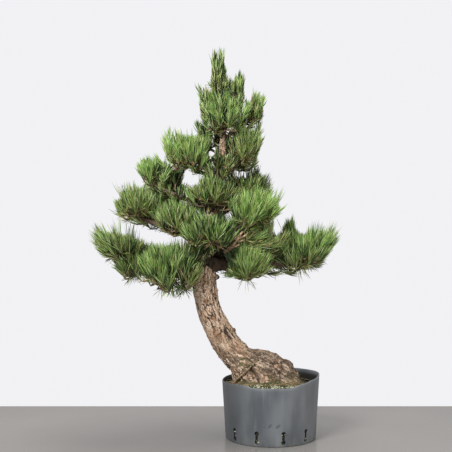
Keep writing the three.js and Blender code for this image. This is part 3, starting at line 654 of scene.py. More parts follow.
luck = np.random.default_rng(19)
moss_feet = np.repeat(on_soil(CUSHIONS, luck, 0.5), CUSHION_BLADES, axis=0)
spread = luck.normal(0, 1, (len(moss_feet), 2))
spread = spread * luck.uniform(*CUSHION_SPREAD, CUSHIONS).repeat(CUSHION_BLADES)[:, None]
x, y = (moss_feet[:, :2] + spread).T
shrink = np.minimum(1, MOSS_REACH / np.hypot(x, y))
x, y = x * shrink, y * shrink
moss_feet = np.stack([x, y, crumbled_height(x, y) - 0.5], -1)
slot_feet = []
for slot in range(SLOT_COUNT):
    for _ in range(SLOT_MOSS):
        across, up = luck.uniform(-4, 4), SLOT_FOOT + luck.uniform(0, 1) ** 1.6 * (SLOT_HEIGHT - 6)
        slot_feet.append(at_slot(slot, SLOT_MOSS_RADIUS, across, up))
slot_feet = np.array(slot_feet)
slot_ways = unit(slot_feet * (1, 1, 0) / SLOT_MOSS_RADIUS + luck.normal(0, 0.5, slot_feet.shape))
for tint, (colour, taken) in MOSS_TINTS.items():
    own = luck.uniform(size=len(moss_feet)) < taken
    in_slot = luck.uniform(size=len(slot_feet)) < 0.5
    foot = np.concatenate([moss_feet[own], slot_feet[in_slot]])
    way = unit(luck.normal(0, 0.6, (own.sum(), 3)) + (0, 0, 1))
    way = np.concatenate([way, slot_ways[in_slot]])
    length = luck.uniform(3, 7, len(foot))
    growth = Finish(tint, Base_Color=colour + (1,), Roughness=0.9)
    radius = luck.uniform(0.5, 0.9, len(foot))
    faceted(tint, blades(foot, way, length, way * 0, radius, luck), growth, "soil")

dead = Finish("dead_needle", Base_Color=DEAD_COLOUR, Roughness=0.8)
foot = on_soil(DEAD_NEEDLES, luck, 0.4)
heading = luck.uniform(0, 2 * math.pi, len(foot))
way = ring_at(heading, 1, luck.uniform(-0.05, 0.12, len(foot)))
length = luck.uniform(16, 42, len(foot))
from_middle, to_wall = (np.hypot(*end[:, :2].T) for end in (foot, foot + way * length[:, None]))
room = (SOIL_EDGE_RADIUS - from_middle) / np.maximum(to_wall - from_middle, 1)
length = length * np.clip(room, 0.05, 1)
radius = np.full(len(foot), 0.65)
faceted("dead_needles", blades(foot + (0, 0, 1.2), unit(way), length, way * 0, radius, luck), dead, "soil")

lichen, _ = flecked("lichen", LICHEN_TINTS, 0.003, 0.35, 0.65, Roughness=0.95)
crumbs = on_soil(LICHEN_COUNT, luck, 0.9, 0.7, 0.5) + (0, 0, 0.5)
crumbs = np.concatenate([crumbs, slot_feet[::2] * (SLOT_CRUMB_REACH, SLOT_CRUMB_REACH, 1)])
faceted("lichen", lumps(crumbs, luck.uniform(0.9, 2.9, len(crumbs)), luck), lichen, "soil")
stone, _ = flecked("stone", STONE_TINTS, 0.005, 0.35, 0.65, Roughness=0.85)
faceted("stones", lumps(on_soil(STONES, luck, 0.3), luck.uniform(1.2, 3.6, STONES), luck), stone, "soil")


# Trunk: one heavy stem that leaves the pot almost flat, turns up in a long bow and runs to
# the tip of the crown. Old flaking bark in long plates covers it, parted by dark fissures,
# and surface roots brace its foot.
TRUNK_LINE = [
    (58, 0, 112, 26), (30, -5, 143, 39), (-15, -8, 167, 42), (-62, -4, 187, 38),
    (-94, 0, 209, 34), (-126, 4, 256, 32), (-152, 6, 312, 28), (-163, 4, 372, 29),
    (-157, 0, 450, 22), (-144, -4, 544, 16), (-127, -2, 635, 12), (-117, 2, 716, 8.5),
    (-118, 2, 785, 5.5), (-128, 0, 838, 4),
]
TRUNK_STEPS = 100
TRUNK_FLUTE = 0.05
FLUTE_COUNT = 3
FLUTE_TURN = 5
TRUNK_RINGS, TRUNK_SIDES = 200, 48
# Surface roots: to the left, front, front right, back, back right and right
ROOTS = (
    [(-70, -8, 190, 34), (-62, -14, 160, 34), (-50, -18, 118, 36)],
    [(-10, -12, 165, 36), (-8, -38, 146, 32), (-2, -54, 114, 30)],
    [(30, -8, 150, 34), (38, -32, 132, 26), (44, -46, 108, 22)],
    [(-20, 8, 165, 36), (-22, 34, 144, 32), (-22, 52, 114, 30)],
    [(30, 6, 148, 32), (48, 26, 126, 26), (56, 38, 106, 22)],
    [(40, -30, 156, 9), (62, -40, 140, 7), (84, -52, 130, 5)],
)
ROOT_RINGS, ROOT_SIDES = 24, 32
# Burls, the stubs of lost boughs and knots: place and radius
BURLS = (
    (36, -6, 170, 20), (8, -14, 182, 22), (-22, -6, 187, 24), (52, -4, 150, 18), (-70, 0, 212, 21),
    (-90, -6, 262, 3.8), (-132, -4, 392, 7), (-133, -6, 360, 5), (-150, -22, 300, 9), (-60, -38, 176, 11),
    (14, -36, 168, 12), (-34, -44, 166, 9),
)
BURL_RINGS, BURL_SIDES = 13, 24
# The cell size of the skin that stem and roots are grown into, and how often it is softened
BARK_VOXEL = 1.55
BARK_EASINGS = 8
BARK_ROUND = 30
PLATE_ACROSS = 5.6
FLAKE_ACROSS = 3.8
FLAKE_ALONG = 15
BARK_DEPTH = 4.8
BARK_DEPTH_SHARE = 0.16
# The foot's own scales, which are stretched along the way that it creeps over the soil
FOOT_TOP = 250
FOOT_GRAIN = np.array((0.78, 0, -0.62))
FOOT_STRETCH = 0.66
FOOT_SCALE = 6
NOTCH = (-46, 0, 222)
NOTCH_REACH = (17, 60, 17)
NOTCH_DEPTH = 6
# Where the bark is dark round a stub, and how far
STUBS = (((-90, -6, 262), 3.5), ((-129, -6, 392), 6))
MOSS_PATCH = (-66, -44, 188)
MOSS_PATCH_REACH = (20, 30, 24)
# How many places of a line each point is measured from, and how many points at a time
NEAREST_TESTS = 420
BATCH = 20000
BARK_COLOURS = {
    "warm_dark": (0.33, 0.2, 0.118), "warm_pale": (0.52, 0.345, 0.225), "grey_dark": (0.38, 0.262, 0.18),
    "grey_pale": (0.68, 0.53, 0.405), "rusty": (0.22, 0.12, 0.065), "sunk": (0.09, 0.058, 0.036),
    "fissure": (0.034, 0.023, 0.015), "soiled": (0.06, 0.042, 0.028), "mossy": (0.085, 0.083, 0.032),
    "shade": (0.028, 0.018, 0.011), "hump": (0.05, 0.037, 0.025),
}


class Line:
    """A line through space with a radius all along it, read by the share of its length."""

    def __init__(self, points, radii):
        self.points = np.asarray(points, float)
        self.radii = np.asarray(radii, float)
        steps = np.linalg.norm(np.diff(self.points, axis=0), axis=1)
        self.length = steps.sum()
        self.shares = np.concatenate([[0], np.cumsum(steps)]) / self.length

    def at(self, share):
        return np.stack([np.interp(share, self.shares, self.points[:, k]) for k in range(3)], -1)

    def radius(self, share):
        return np.interp(share, self.shares, self.radii)

    def way(self, share, step=0.004):
        share = np.asarray(share)
        return unit(self.at(np.minimum(share + step, 1)) - self.at(np.maximum(share - step, 0)))

    def part(self, start, end, count=24):
        shares = np.linspace(start, end, count)
        return Line(self.at(shares), self.radius(shares))


def smooth_line(stations, centripetal=True, steps=TRUNK_STEPS):
    """A smooth line through stations of x, y, z and radius, eased by how far apart they are."""
    stations = np.array(stations, float)
    knots = stations[:, :3]
    knots = np.concatenate([[2 * knots[0] - knots[1]], knots, [2 * knots[-1] - knots[-2]]])
    share = np.linspace(0, 1, steps + 1)[:, None]
    rows = []
    for i in range(len(stations) - 1):
        a, b, c, d = knots[i:i + 4]
        if centripetal:
            t0, t1, t2 = (np.linalg.norm(q - p) ** 0.5 for p, q in ((a, b), (b, c), (c, d)))
            leave = ((b - a) / t0 - (c - a) / (t0 + t1) + (c - b) / t1) * t1
            reach = ((c - b) / t1 - (d - b) / (t1 + t2) + (d - c) / t2) * t1
        else:
            leave, reach = (c - a) / 2, (d - b) / 2
        place = (b + leave * share + (3 * (c - b) - 2 * leave - reach) * share ** 2
                 + (2 * (b - c) + leave + reach) * share ** 3)
        radius = stations[i, 3] + (stations[i + 1, 3] - stations[i, 3]) * share
        row = np.concatenate([place, radius], 1)
        rows.append(row if i == len(stations) - 2 else row[:-1])
    rows = np.concatenate(rows)
    return Line(rows[:, :3], rows[:, 3])


def frames_along(ways):
    """Two directions across the line at each ring, turning no more than the line does."""
    first = np.cross(ways[0], (0, 1, 0.2))
    across = [first / np.linalg.norm(first)]
    for way in ways[1:]:
        next_one = across[-1] - way * np.dot(across[-1], way)
        across.append(next_one / np.linalg.norm(next_one))
    across = np.array(across)
    return across, np.cross(ways, across)


def tube(line, shares, radii, sides):
    """The corners and faces of a closed tube round a line."""
    centres = line.at(shares)
    across, over = frames_along(line.way(shares))
    turn = round_turns(sides)
    radii = np.asarray(radii, float).reshape(len(shares), -1)
    ring = np.cos(turn)[None, :, None] * across[:, None] + np.sin(turn)[None, :, None] * over[:, None]
    points = (centres[:, None] + ring * radii[..., None]).reshape(-1, 3)
    return np.concatenate([points, centres[:1], centres[-1:]]), shell_faces(len(shares), sides)


def rough_tube(line, rings, sides, rough, seed):
    """A tube as thick as its line, with chance dents and bumps."""
    shares = np.linspace(0, 1, rings)
    bumps = 1 + rough * np.random.default_rng(seed).uniform(-1, 1, (rings, sides))
    return tube(line, shares, line.radius(shares)[:, None] * bumps, sides)


def joined(parts):
    """Several sets of corners and faces as one set."""
    points = []
    groups = {}
    start = 0
    for corners, faces in parts:
        points.append(corners)
        for group in faces:
            groups.setdefault(group.shape[1], []).append(group + start)
        start += len(corners)
    return np.concatenate(points), [np.concatenate(group) for group in groups.values()]


trunk_line = smooth_line(TRUNK_LINE)


def trunk_core():
    """The trunk and its root flare before they are grown into one skin."""
    shares = np.linspace(0, 1, TRUNK_RINGS)
    turn = round_turns(TRUNK_SIDES)
    flute = 1 + TRUNK_FLUTE * np.cos(FLUTE_COUNT * turn[None] + FLUTE_TURN * shares[:, None])
    parts = [tube(trunk_line, shares, trunk_line.radius(shares)[:, None] * flute, TRUNK_SIDES)]
    steps = np.linspace(0, 1, ROOT_RINGS)
    for stations in ROOTS:
        root = smooth_line(stations, centripetal=False)
        parts.append(tube(root, steps, root.radius(steps), ROOT_SIDES))
    steps = np.linspace(0, 1, BURL_RINGS)
    for x, y, z, radius in BURLS:
        girth = radius * np.sqrt(np.clip(1 - (2 * steps - 1) ** 2, 0.02, 1))
        middle = np.array((x, y, z), float)
        axis = np.array((0, 0, radius * 0.98))
        parts.append(tube(Line([middle - axis, middle + axis], [1, 1]), steps, girth, BURL_SIDES))
    return mesh_of("core", *joined(parts))


def read_vectors(group, key):
    values = np.empty(len(group) * 3, np.float32)
    group.foreach_get(key, values)
    return values.reshape(-1, 3).astype(float)


def move_corners(mesh, points):
    mesh.vertices.foreach_set("co", (points * MM).astype(np.float32).ravel())
    mesh.update()


def relaxed(points, edges, times):
    """The corners drawn towards their neighbours, so that creases soften."""
    count = np.bincount(edges.ravel(), minlength=len(points))[:, None]
    for _ in range(times):
        total = np.zeros_like(points)
        for k in range(3):
            total[:, k] = np.bincount(edges[:, 0], points[edges[:, 1], k], len(points))
            total[:, k] += np.bincount(edges[:, 1], points[edges[:, 0], k], len(points))
        points = points + 0.5 * (total / np.maximum(count, 1) - points)
    return points


def bent_by(points, size, seed):
    """Three swells as one vector, to bend a pattern by."""
    return np.stack([swell(points, size, seed + k) for k in range(3)], -1)


def cracked(points, seed):
    """Cells of chance shape: how far each point lies inside its cell, and two chance values
    that belong to the cell."""
    cell = np.floor(points).astype(np.int64)
    near, second = np.full((2, len(points)), 9.0)
    mark, tone = np.zeros((2, len(points)))
    for step in np.ndindex(3, 3, 3):
        other = cell + np.array(step) - 1
        seat = other + np.stack([chance_at(other, seed + k) for k in range(3)], -1)
        gap = np.linalg.norm(points - seat, axis=1)
        closer = gap < near
        second = np.where(closer, near, np.minimum(second, gap))
        near = np.where(closer, gap, near)
        mark = np.where(closer, chance_at(other, seed + 5), mark)
        tone = np.where(closer, chance_at(other, seed + 7), tone)
    return second - near, mark, tone


def bark_relief(around, along, seed):
    """The height from 0 to 1 and the tones of old bark, laid out flat round a stem."""
    flat = ring_at(around, BARK_ROUND, along)
    bent = flat + 4.5 * bent_by(flat, 24, seed)
    bent += 1.8 * bent_by(flat, 7, seed + 3)
    long_crack = np.abs(swell(bent * (1, 1, 0.15), PLATE_ACROSS, seed + 10))
    side_crack = np.abs(swell(bent * (1, 1, 0.24) + 50, FLAKE_ACROSS, seed + 20))
    flake, step, speck = cracked(bent / (FLAKE_ACROSS, FLAKE_ACROSS, FLAKE_ALONG) + 40, seed + 30)
    tone = 0.5 + 0.5 * swell(bent * (1, 1, 0.3), 12, seed + 49)
    strand = 0.5 + 0.5 * swell(bent * (1, 1, 0.16), 3.6, seed + 50)
    fine = 0.5 + 0.5 * swell(flat * (1, 1, 0.6), 2.1, seed + 51)
    open_here = eased(0.6 + 0.9 * swell(flat * (1, 1, 0.5), 22, seed + 52))
    body = 1 - (1 - eased(long_crack / 0.3)) * (0.45 + 0.55 * open_here)
    strip = 1 - (1 - eased(side_crack / 0.3)) * (0.9 - 0.4 * open_here)
    height = 0.36 * body + 0.24 * strip + 0.26 * step * eased(flake / 0.2) + 0.08 * strand + 0.06 * fine
    fissure = (1 - eased(long_crack / 0.15)) * (0.3 + 0.7 * open_here)
    fissure = np.maximum(fissure, (1 - eased(side_crack / 0.13)) * 0.62)
    fissure = np.maximum(fissure, 0.6 * (1 - eased(flake / 0.14)))
    return height, fissure, tone, 0.55 * speck + 0.45 * strand


def nearest_on(line, points):
    """For each point: the share of the line beside it and the direction round the line."""
    shares = np.linspace(0, 1, NEAREST_TESTS)
    centres = line.at(shares)
    ways = line.way(shares)
    across, over = frames_along(ways)
    best = np.empty(len(points), int)
    for start in range(0, len(points), BATCH):
        some = slice(start, start + BATCH)
        best[some] = ((points[some][:, None] - centres[None]) ** 2).sum(-1).argmin(1)
    out = points - centres[best]
    slip = (out * ways[best]).sum(-1)
    angle = np.arctan2((out * over[best]).sum(-1), (out * across[best]).sum(-1))
    return shares[best] + slip / line.length, angle


def grown_scale(line, count=400):
    """The length along a stem counted in its own girth, so that plates shrink with it."""
    shares = np.linspace(0, 1, count)
    pace = BARK_ROUND / np.maximum(line.radius(shares), 5)
    return shares, np.concatenate([[0], np.cumsum((pace[1:] + pace[:-1]) / 2)]) * line.length / (count - 1)


skin = worked(trunk_core(), "REMESH", mode="VOXEL", voxel_size=BARK_VOXEL * MM)
edges = np.empty(len(skin.edges) * 2, np.int32)
skin.edges.foreach_get("vertices", edges)
points = relaxed(read_vectors(skin.vertices, "co") / MM, edges.reshape(-1, 2), BARK_EASINGS)
move_corners(skin, points)
facing = read_vectors(skin.vertex_normals, "vector")
share, around = nearest_on(trunk_line, points)
height, fissure, tone, speck = bark_relief(around, np.interp(share, *grown_scale(trunk_line)), 140)
depth = np.minimum(BARK_DEPTH, BARK_DEPTH_SHARE * trunk_line.radius(share))
low_down = eased((FOOT_TOP - points[:, 2]) / 60)
lengthwise = (points * FOOT_GRAIN).sum(-1)[:, None] * FOOT_GRAIN
crazed = points - FOOT_STRETCH * lengthwise
crazed += 4 * bent_by(points, 13, 80)
crazed += 2.4 * bent_by(points, 4.5, 90)
craze, scale_step, scale_tone = cracked(crazed / FOOT_SCALE, 84)
broken = 0.35 + 0.65 * eased(0.5 + 0.9 * swell(points, 11, 87))
height = height + low_down * (0.5 * height + 0.28 * scale_step + 0.22 * eased(craze / 0.3) - height)
fissure = np.maximum(fissure * (1 - 0.15 * low_down), low_down * (1 - eased(craze / 0.2)) * broken)
speck = speck + low_down * 0.6 * (scale_tone - speck)
hump = low_down * eased((facing[:, 2] - 0.3) / 0.4) * eased((points[:, 0] + 62) / 16)
hump = hump * np.clip(0.65 + swell(points, 9, 86), 0, 1)
for place, reach in STUBS:
    hump = np.maximum(hump, 1 - eased(np.linalg.norm(points - place, axis=1) / reach - 1))
gnarl = 1.5 * swell(points, 22, 60) + (
    2.6 * swell(points, 38, 61) + 1.8 * swell(points, 11, 62) + 1.1 * swell(points, 5, 63)
) * low_down
notch = 1 - eased(np.linalg.norm((points - NOTCH) / NOTCH_REACH, axis=1) - 0.2)
lift = depth * (height - 0.5) + gnarl * depth / BARK_DEPTH - NOTCH_DEPTH * notch
points = points + facing * lift[:, None]
moss = np.clip((236 - points[:, 2]) / 90, 0, 1) * np.clip(0.5 + 1.4 * swell(points, 22, 70), 0, 1)
moss = np.clip(moss * (1.2 - height) + np.clip((150 - points[:, 2]) / 14, 0, 1) * 0.5, 0, 1)
from_patch = np.linalg.norm((points - MOSS_PATCH) / MOSS_PATCH_REACH, axis=1)
moss = np.maximum(moss, (1 - eased(from_patch - 0.4)) * (0.55 + 0.45 * swell(points, 5, 71)))
# Painted light and shade on the trunk: from 280 mm up and under the crown its raised plates are painted
# lighter, and its fissures and hollows darker
painted_light_under_crown = eased((points[:, 2] - 372) / 40) * (1 - eased((points[:, 2] - 620) / 90))
painted_light_high_up = eased((points[:, 2] - 280) / 60) * (1 - 0.1 * eased((points[:, 2] - 400) / 40))
kept = {
    "fissure": fissure, "tone": tone, "speck": speck, "moss": moss, "lift": height, "low": low_down,
    "under": painted_light_under_crown, "hump": hump, "high": painted_light_high_up,
}
store(skin, kept)
move_corners(skin, points)
skin.polygons.foreach_set("use_smooth", np.ones(len(skin.polygons), bool))

bark = Finish("old_bark", Roughness=0.9, Specular_IOR_Level=0.25)
dirt = bark.noise(bark.place, 0.004, detail=5, rough=0.7)
patch = bark.noise(bark.place, 0.03)
on = {key: bark.stored(key) for key in kept}
warm = bark.mix(BARK_COLOURS["warm_dark"], BARK_COLOURS["warm_pale"], on["tone"])
grey = bark.mix(BARK_COLOURS["grey_dark"], BARK_COLOURS["grey_pale"], on["speck"])
plates = bark.layered(
    warm,
    (grey, bark.between(patch + 0.5 * on["speck"], 0.55, 0.95)),
    (BARK_COLOURS["rusty"], bark.between(on["speck"], 0.42, 0.15) * 0.75),
)
# Painted highlight on the raised plates high on the trunk and under the crown
plates = plates * (0.36 + 1.18 * dirt + 0.62 * on["high"] * on["lift"])
plates = plates * (1 - on["low"] * (0.28 - 0.66 * on["speck"]))
plates = plates * (1 + 0.9 * on["under"] * on["lift"])
fissure_and_painted_shade = on["fissure"] * (1 + 0.15 * on["high"])
bark.feed("Base Color", bark.layered(
    plates,
    (BARK_COLOURS["sunk"], bark.between(on["lift"], 0.6, 0.25) * 0.85),
    (BARK_COLOURS["fissure"], bark.between(fissure_and_painted_shade, 0.12, 0.75) * 0.93),
    (BARK_COLOURS["soiled"], on["low"] * bark.between(dirt + patch, 0.85, 1.2) * 0.55),
    (BARK_COLOURS["mossy"], bark.between(on["moss"] + 0.3 * dirt, 0.5, 0.85) * 0.75),
    # Painted shade in the bark's hollows under the crown
    (BARK_COLOURS["shade"], on["under"] * 0.5 * bark.between(on["lift"], 0.7, 0.45)),
    (BARK_COLOURS["hump"], on["hump"] * bark.between(dirt, 0.3, 0.55) * 0.82),
))
bark.relief(dirt, 0.0026)
piece("old_trunk", skin, bark, "bark", "trunk")


# Side root: one thin root, brown and scurfy, that grew from the trunk above the soil. It was
# never buried, and lies slantwise on the foot.
SIDE_ROOT = [
    (-97, -36, 130, 2.5), (-84, -44, 147, 2.3), (-67, -52, 163, 2),
    (-47, -50, 182, 1.6), (-30, -43, 196, 0.9),
]
ROOT_TINTS = ((0.085, 0.058, 0.03), (0.36, 0.265, 0.155))
side_root = mesh_of("side_root", *rough_tube(smooth_line(SIDE_ROOT), 70, 10, 0.16, 5))
root_bark, _ = flecked("root_bark", ROOT_TINTS, 0.003, 0.35, 0.7, Roughness=0.9)
piece("side_root", side_root, root_bark, "bark")


# Boughs: side limbs that part from the trunk and fork again, each tapering to the stem of
# the needle cluster it feeds. Their bark is thinner and browner, and each one swells into a
# collar where it joins.
LIMB_TAPER = 0.8
STEM_LENGTH = 26
FORK_RADIUS = 6
# What each bough parts from, at what height or share of it, its radius at both ends, its bow
LIMBS = {
    "low_left": ("trunk", 412, 15, 5, (0, 0, -34)),
    "low_left_mid": ("low_left", 0.6, 6, 4.5, (0, 6, -8)),
    "low_left_front": ("low_left", 0.3, 7, 4.5, (0, 0, -10)),
    "second_left": ("trunk", 468, 11, 4.5, (0, 0, 8)),
    "second_left_mid": ("second_left", 0.52, 5, 4, (0, 4, -6)),
    "second_left_front": ("second_left", 0.22, 5.5, 4, (0, 0, -8)),
    "third_left": ("trunk", 562, 8, 4, (0, 0, -10)),
    "third_left_back": ("third_left", 0.5, 4.5, 3.5, (0, 4, -6)),
    "fourth_left": ("trunk", 636, 7, 4, (0, 0, -9)),
    "centre_low": ("trunk", 448, 9, 4.5, (0, 0, -6)),
    "right_front": ("trunk", 476, 10, 4.5, (-4, -24, 0)),
    "right_under": ("trunk", 464, 8, 4.5, (0, -8, 2)),
    "right_mid": ("trunk", 530, 8, 4, (0, 0, -8)),
    "right_upper": ("trunk", 628, 7, 4, (0, 0, -6)),
    "low_right": ("trunk", 430, 19, 5, (0, 0, -14)),
    "low_right_front": ("low_right", 0.32, 6.5, 4.5, (0, 0, -8)),
    "low_right_mid": ("low_right", 0.48, 6, 4, (0, 4, -4)),
    "low_right_back": ("low_right", 0.66, 5, 3.5, (0, 6, -8)),
    "back_low": ("trunk", 424, 9, 4.5, (0, 0, -12)),
    "back_left": ("trunk", 498, 8, 4, (0, 0, -12)),
    "back_right": ("trunk", 484, 8, 4, (0, 0, -14)),
    "back_mid": ("trunk", 540, 7, 4, (0, 0, -10)),
    "back_upper": ("trunk", 640, 6, 3.5, (0, 0, -8)),
}
LIMB_FEEDS = {"low_left": "low_left_tip", "second_left": "second_left_tip", "low_right": "low_right_tip"}
LIMB_STOPS = {"low_right": 50, "right_under": 34}
# Heart, reach across and deep, shoots, lean, needle length, stagger in height, narrowness
# of the fan, height of the stem on the trunk where no bough feeds it, and how brightly its
# needles are painted for the light that falls on it
Mass = namedtuple("Mass", "heart across deep shoots lean needle tall narrow root bright")
MASSES = {
    "low_left_tip": ((-368, -15, 444), 24, 28, 6, (-0.3, 0, 1), 64, 10, 1, 0, 0.45),
    "low_left_mid": ((-334, 25, 408), 26, 52, 6, (-0.1, 0.05, 1), 66, 16, 1, 0, 0.7),
    "low_left_front": ((-262, -62, 386), 32, 26, 7, (-0.05, -0.15, 1), 70, 48, 1, 0, 0.75),
    "low_left_inner": ((-214, -38, 386), 20, 20, 5, (0.02, -0.15, 1), 66, 48, 1, 398, 0.3),
    "second_left_tip": ((-331, -10, 540), 18, 28, 5, (-0.2, 0, 1), 62, 26, 1, 0, 0.5),
    "second_left_mid": ((-288, 26, 540), 20, 36, 5, (-0.05, 0, 1), 64, 20, 1, 0, 0.45),
    "second_left_front": ((-226, -52, 502), 24, 26, 6, (0, -0.15, 1), 66, 14, 1, 0, 0.55),
    "third_left": ((-288, -15, 619), 12, 16, 4, (-0.1, 0, 1), 54, 10, 1, 0, 0.64),
    "third_left_back": ((-244, 38, 597), 10, 18, 3, (0.05, 0.1, 1), 58, 10, 1, 0, 0.05),
    "fourth_left": ((-204, -18, 665), 34, 20, 6, (-0.02, 0, 1), 60, 10, 1, 0, 0.75),
    "upper_left_back": ((-150, 34, 709), 8, 14, 3, (-0.2, 0.2, 1), 54, 10, 1, 690, 0.05),
    "upper_front": ((-122, -38, 646), 18, 12, 4, (0, -0.15, 1), 58, 10, 1, 630, 0.4),
    "centre_upper": ((-141, -50, 566), 24, 20, 5, (0, -0.1, 1), 64, 10, 1, 548, 0.5),
    "centre_low": ((-150, -80, 484), 32, 22, 6, (0, -0.15, 1), 66, 14, 1, 0, 0.5),
    "right_mid": ((-66, 36, 592), 28, 32, 5, (0.06, 0.05, 1), 64, 10, 1, 0, 0.3),
    "right_front": ((-46, -50, 526), 34, 26, 7, (0.12, -0.1, 1), 70, 16, 1, 0, 0.88),
    "right_under": ((-34, -28, 454), 28, 24, 4, (0.12, -0.1, 1), 70, 10, 1, 0, 0.57),
    "right_upper": ((-68, -14, 680), 22, 28, 6, (0, 0, 1), 62, 18, 1, 0, 0.45),
    "low_right_front": ((-62, -64, 396), 26, 20, 6, (0, -0.1, 1), 66, 10, 1, 0, 0.85),
    "low_right_mid": ((16, 30, 424), 24, 22, 5, (0.05, 0, 1), 64, 10, 1, 0, 0.58),
    "low_right_back": ((52, 62, 472), 8, 16, 3, (0, 0.1, 1), 56, 10, 1, 0, 0.4),
    "low_right_tip": ((91, -8, 426), 34, 28, 7, (0.16, 0, 1), 68, 36, 1, 0, 0.56),
    "apex_leader": ((-130, 0, 862), 12, 15, 4, (0, 0, 1), 56, 26, 0.55, 838, 0.35),
    "apex_left": ((-147, -6, 790), 13, 17, 4, (-0.08, 0, 1), 56, 18, 0.65, 764, 0.6),
    "apex_front": ((-109, -32, 762), 22, 10, 5, (0, -0.15, 1), 60, 10, 1, 738, 0.7),
    "apex_right": ((-80, 3, 818), 10, 15, 4, (0.02, 0, 1), 52, 20, 0.55, 776, 0.55),
    "apex_outer": ((-48, 5, 778), 12, 17, 4, (0.08, 0, 1), 56, 24, 0.6, 730, 0.56),
    "apex_back": ((-112, 36, 780), 18, 12, 3, (0, 0.2, 1), 56, 10, 1, 752, 0.4),
    "back_low": ((-120, 118, 424), 34, 26, 5, (0, 0.25, 1), 64, 10, 1, 0, 0.5),
    "back_left": ((-258, 108, 516), 32, 26, 5, (-0.1, 0.2, 1), 62, 10, 1, 0, 0.6),
    "back_mid": ((-140, 108, 546), 28, 26, 4, (0, 0.25, 1), 62, 10, 1, 0, 0.5),
    "back_right": ((-46, 112, 468), 32, 26, 5, (0.12, 0.2, 1), 64, 10, 1, 0, 0.55),
    "back_upper": ((-86, 72, 668), 22, 18, 5, (0.05, 0.25, 1), 58, 10, 1, 0, 0.5),
}
MASSES = {name: Mass(*row) for name, row in MASSES.items()}
COLLAR_SWELL = 0.55
COLLAR_LENGTH = 11
BOUGH_SIDES = 18
BOUGH_RING_STEP = 2.2
BOUGH_RELIEF = 0.24
BOUGH_KNOTS = 0.09
BOUGH_COLOURS = {
    "dark": (0.10, 0.062, 0.038), "pale": (0.21, 0.145, 0.098), "grey": (0.38, 0.31, 0.24),
    "fissure": (0.035, 0.024, 0.016), "shade": (0.022, 0.015, 0.01),
}


def trunk_point(height):
    """The place on the trunk's line at a height."""
    return np.array([np.interp(height, trunk_line.points[:, 2], trunk_line.points[:, k]) for k in range(3)])


def bowed(start, end, bow, radii=(1, 1)):
    """A line that leaves the straight way between two points by as much as it bows."""
    share = np.linspace(0, 1, 201)[:, None]
    middle = (start + end) / 2 + np.array(bow)
    points = start * (1 - share) ** 2 + 2 * middle * share * (1 - share) + end * share ** 2
    return Line(points, radii[0] + (radii[1] - radii[0]) * share[:, 0])


limbs = {}
for name, (parent, at, foot, tip, bow) in LIMBS.items():
    start = trunk_point(at) if parent == "trunk" else limbs[parent]["line"].at(at)
    feeds = LIMB_FEEDS.get(name, name)
    line = bowed(start, np.array(MASSES[feeds].heart, float), bow)
    stop = 1 - LIMB_STOPS.get(name, STEM_LENGTH) / line.length
    inside = FORK_RADIUS
    if parent == "trunk":
        inside = trunk_line.radius(nearest_on(trunk_line, start[None])[0][0])
    limbs[name] = {"line": line, "stop": stop, "foot": foot, "tip": tip, "feeds": feeds, "inside": inside}


def bough_part(limb, seed):
    """One bough with its bark: corners, faces and what its bark stores."""
    line = limb["line"]
    count = max(12, int(line.length * limb["stop"] / BOUGH_RING_STEP))
    grown = np.linspace(0, 1, count)
    shares = grown * limb["stop"]
    radii = limb["foot"] + (limb["tip"] - limb["foot"]) * grown ** LIMB_TAPER
    clear = np.maximum(shares * line.length - limb["inside"], 0)
    radii = radii * (1 + COLLAR_SWELL * np.exp(-clear / COLLAR_LENGTH))
    along = np.interp(grown, *grown_scale(Line(line.at(shares), radii))).repeat(BOUGH_SIDES)
    height, fissure, tone, speck = bark_relief(np.tile(round_turns(BOUGH_SIDES), count), along, seed)
    knots = BOUGH_KNOTS * np.sin(np.repeat(grown, BOUGH_SIDES) * line.length / 9 + seed)
    relief = (BOUGH_RELIEF * (height - 0.62)).reshape(count, -1) + knots.reshape(count, -1)
    points, faces = tube(line, shares, radii[:, None] * (1 + relief), BOUGH_SIDES)
    # Painted shade on each bough near the trunk, darkest in the bark's hollows
    near_trunk = np.repeat(1 - eased((clear - 12) / 80), BOUGH_SIDES)
    values = {"fissure": fissure, "tone": tone, "speck": speck, "lift": height, "near_trunk": near_trunk}
    return points, faces, {key: np.append(value, (0.5, 0.5)) for key, value in values.items()}


parts = [bough_part(limb, 200 + 7 * i) for i, limb in enumerate(limbs.values())]
kept = {key: np.concatenate([part[2][key] for part in parts]) for key in parts[0][2]}
boughs = mesh_of("boughs", *joined([part[:2] for part in parts]), kept)
young = Finish("bough_bark", Roughness=0.88, Specular_IOR_Level=0.25)
dirt = young.noise(young.place, 0.003, detail=4, rough=0.7)
on = {key: young.stored(key) for key in kept}
plates = young.layered(
    BOUGH_COLOURS["dark"],
    (BOUGH_COLOURS["pale"], on["tone"]),
    (BOUGH_COLOURS["grey"], on["speck"] * 0.35),
)
young.feed("Base Color", young.layered(
    plates * (0.7 + 0.5 * dirt),
    (BOUGH_COLOURS["fissure"], young.between(on["fissure"], 0.3, 0.95) * 0.85),
    # Painted shade near the trunk
    (BOUGH_COLOURS["shade"], on["near_trunk"] * (0.58 + 0.36 * young.between(on["lift"], 0.7, 0.45))),
))
young.relief(dirt, 0.0009)
piece("boughs", boughs, young, "bark", *[f"bough_{name}" for name in LIMBS])


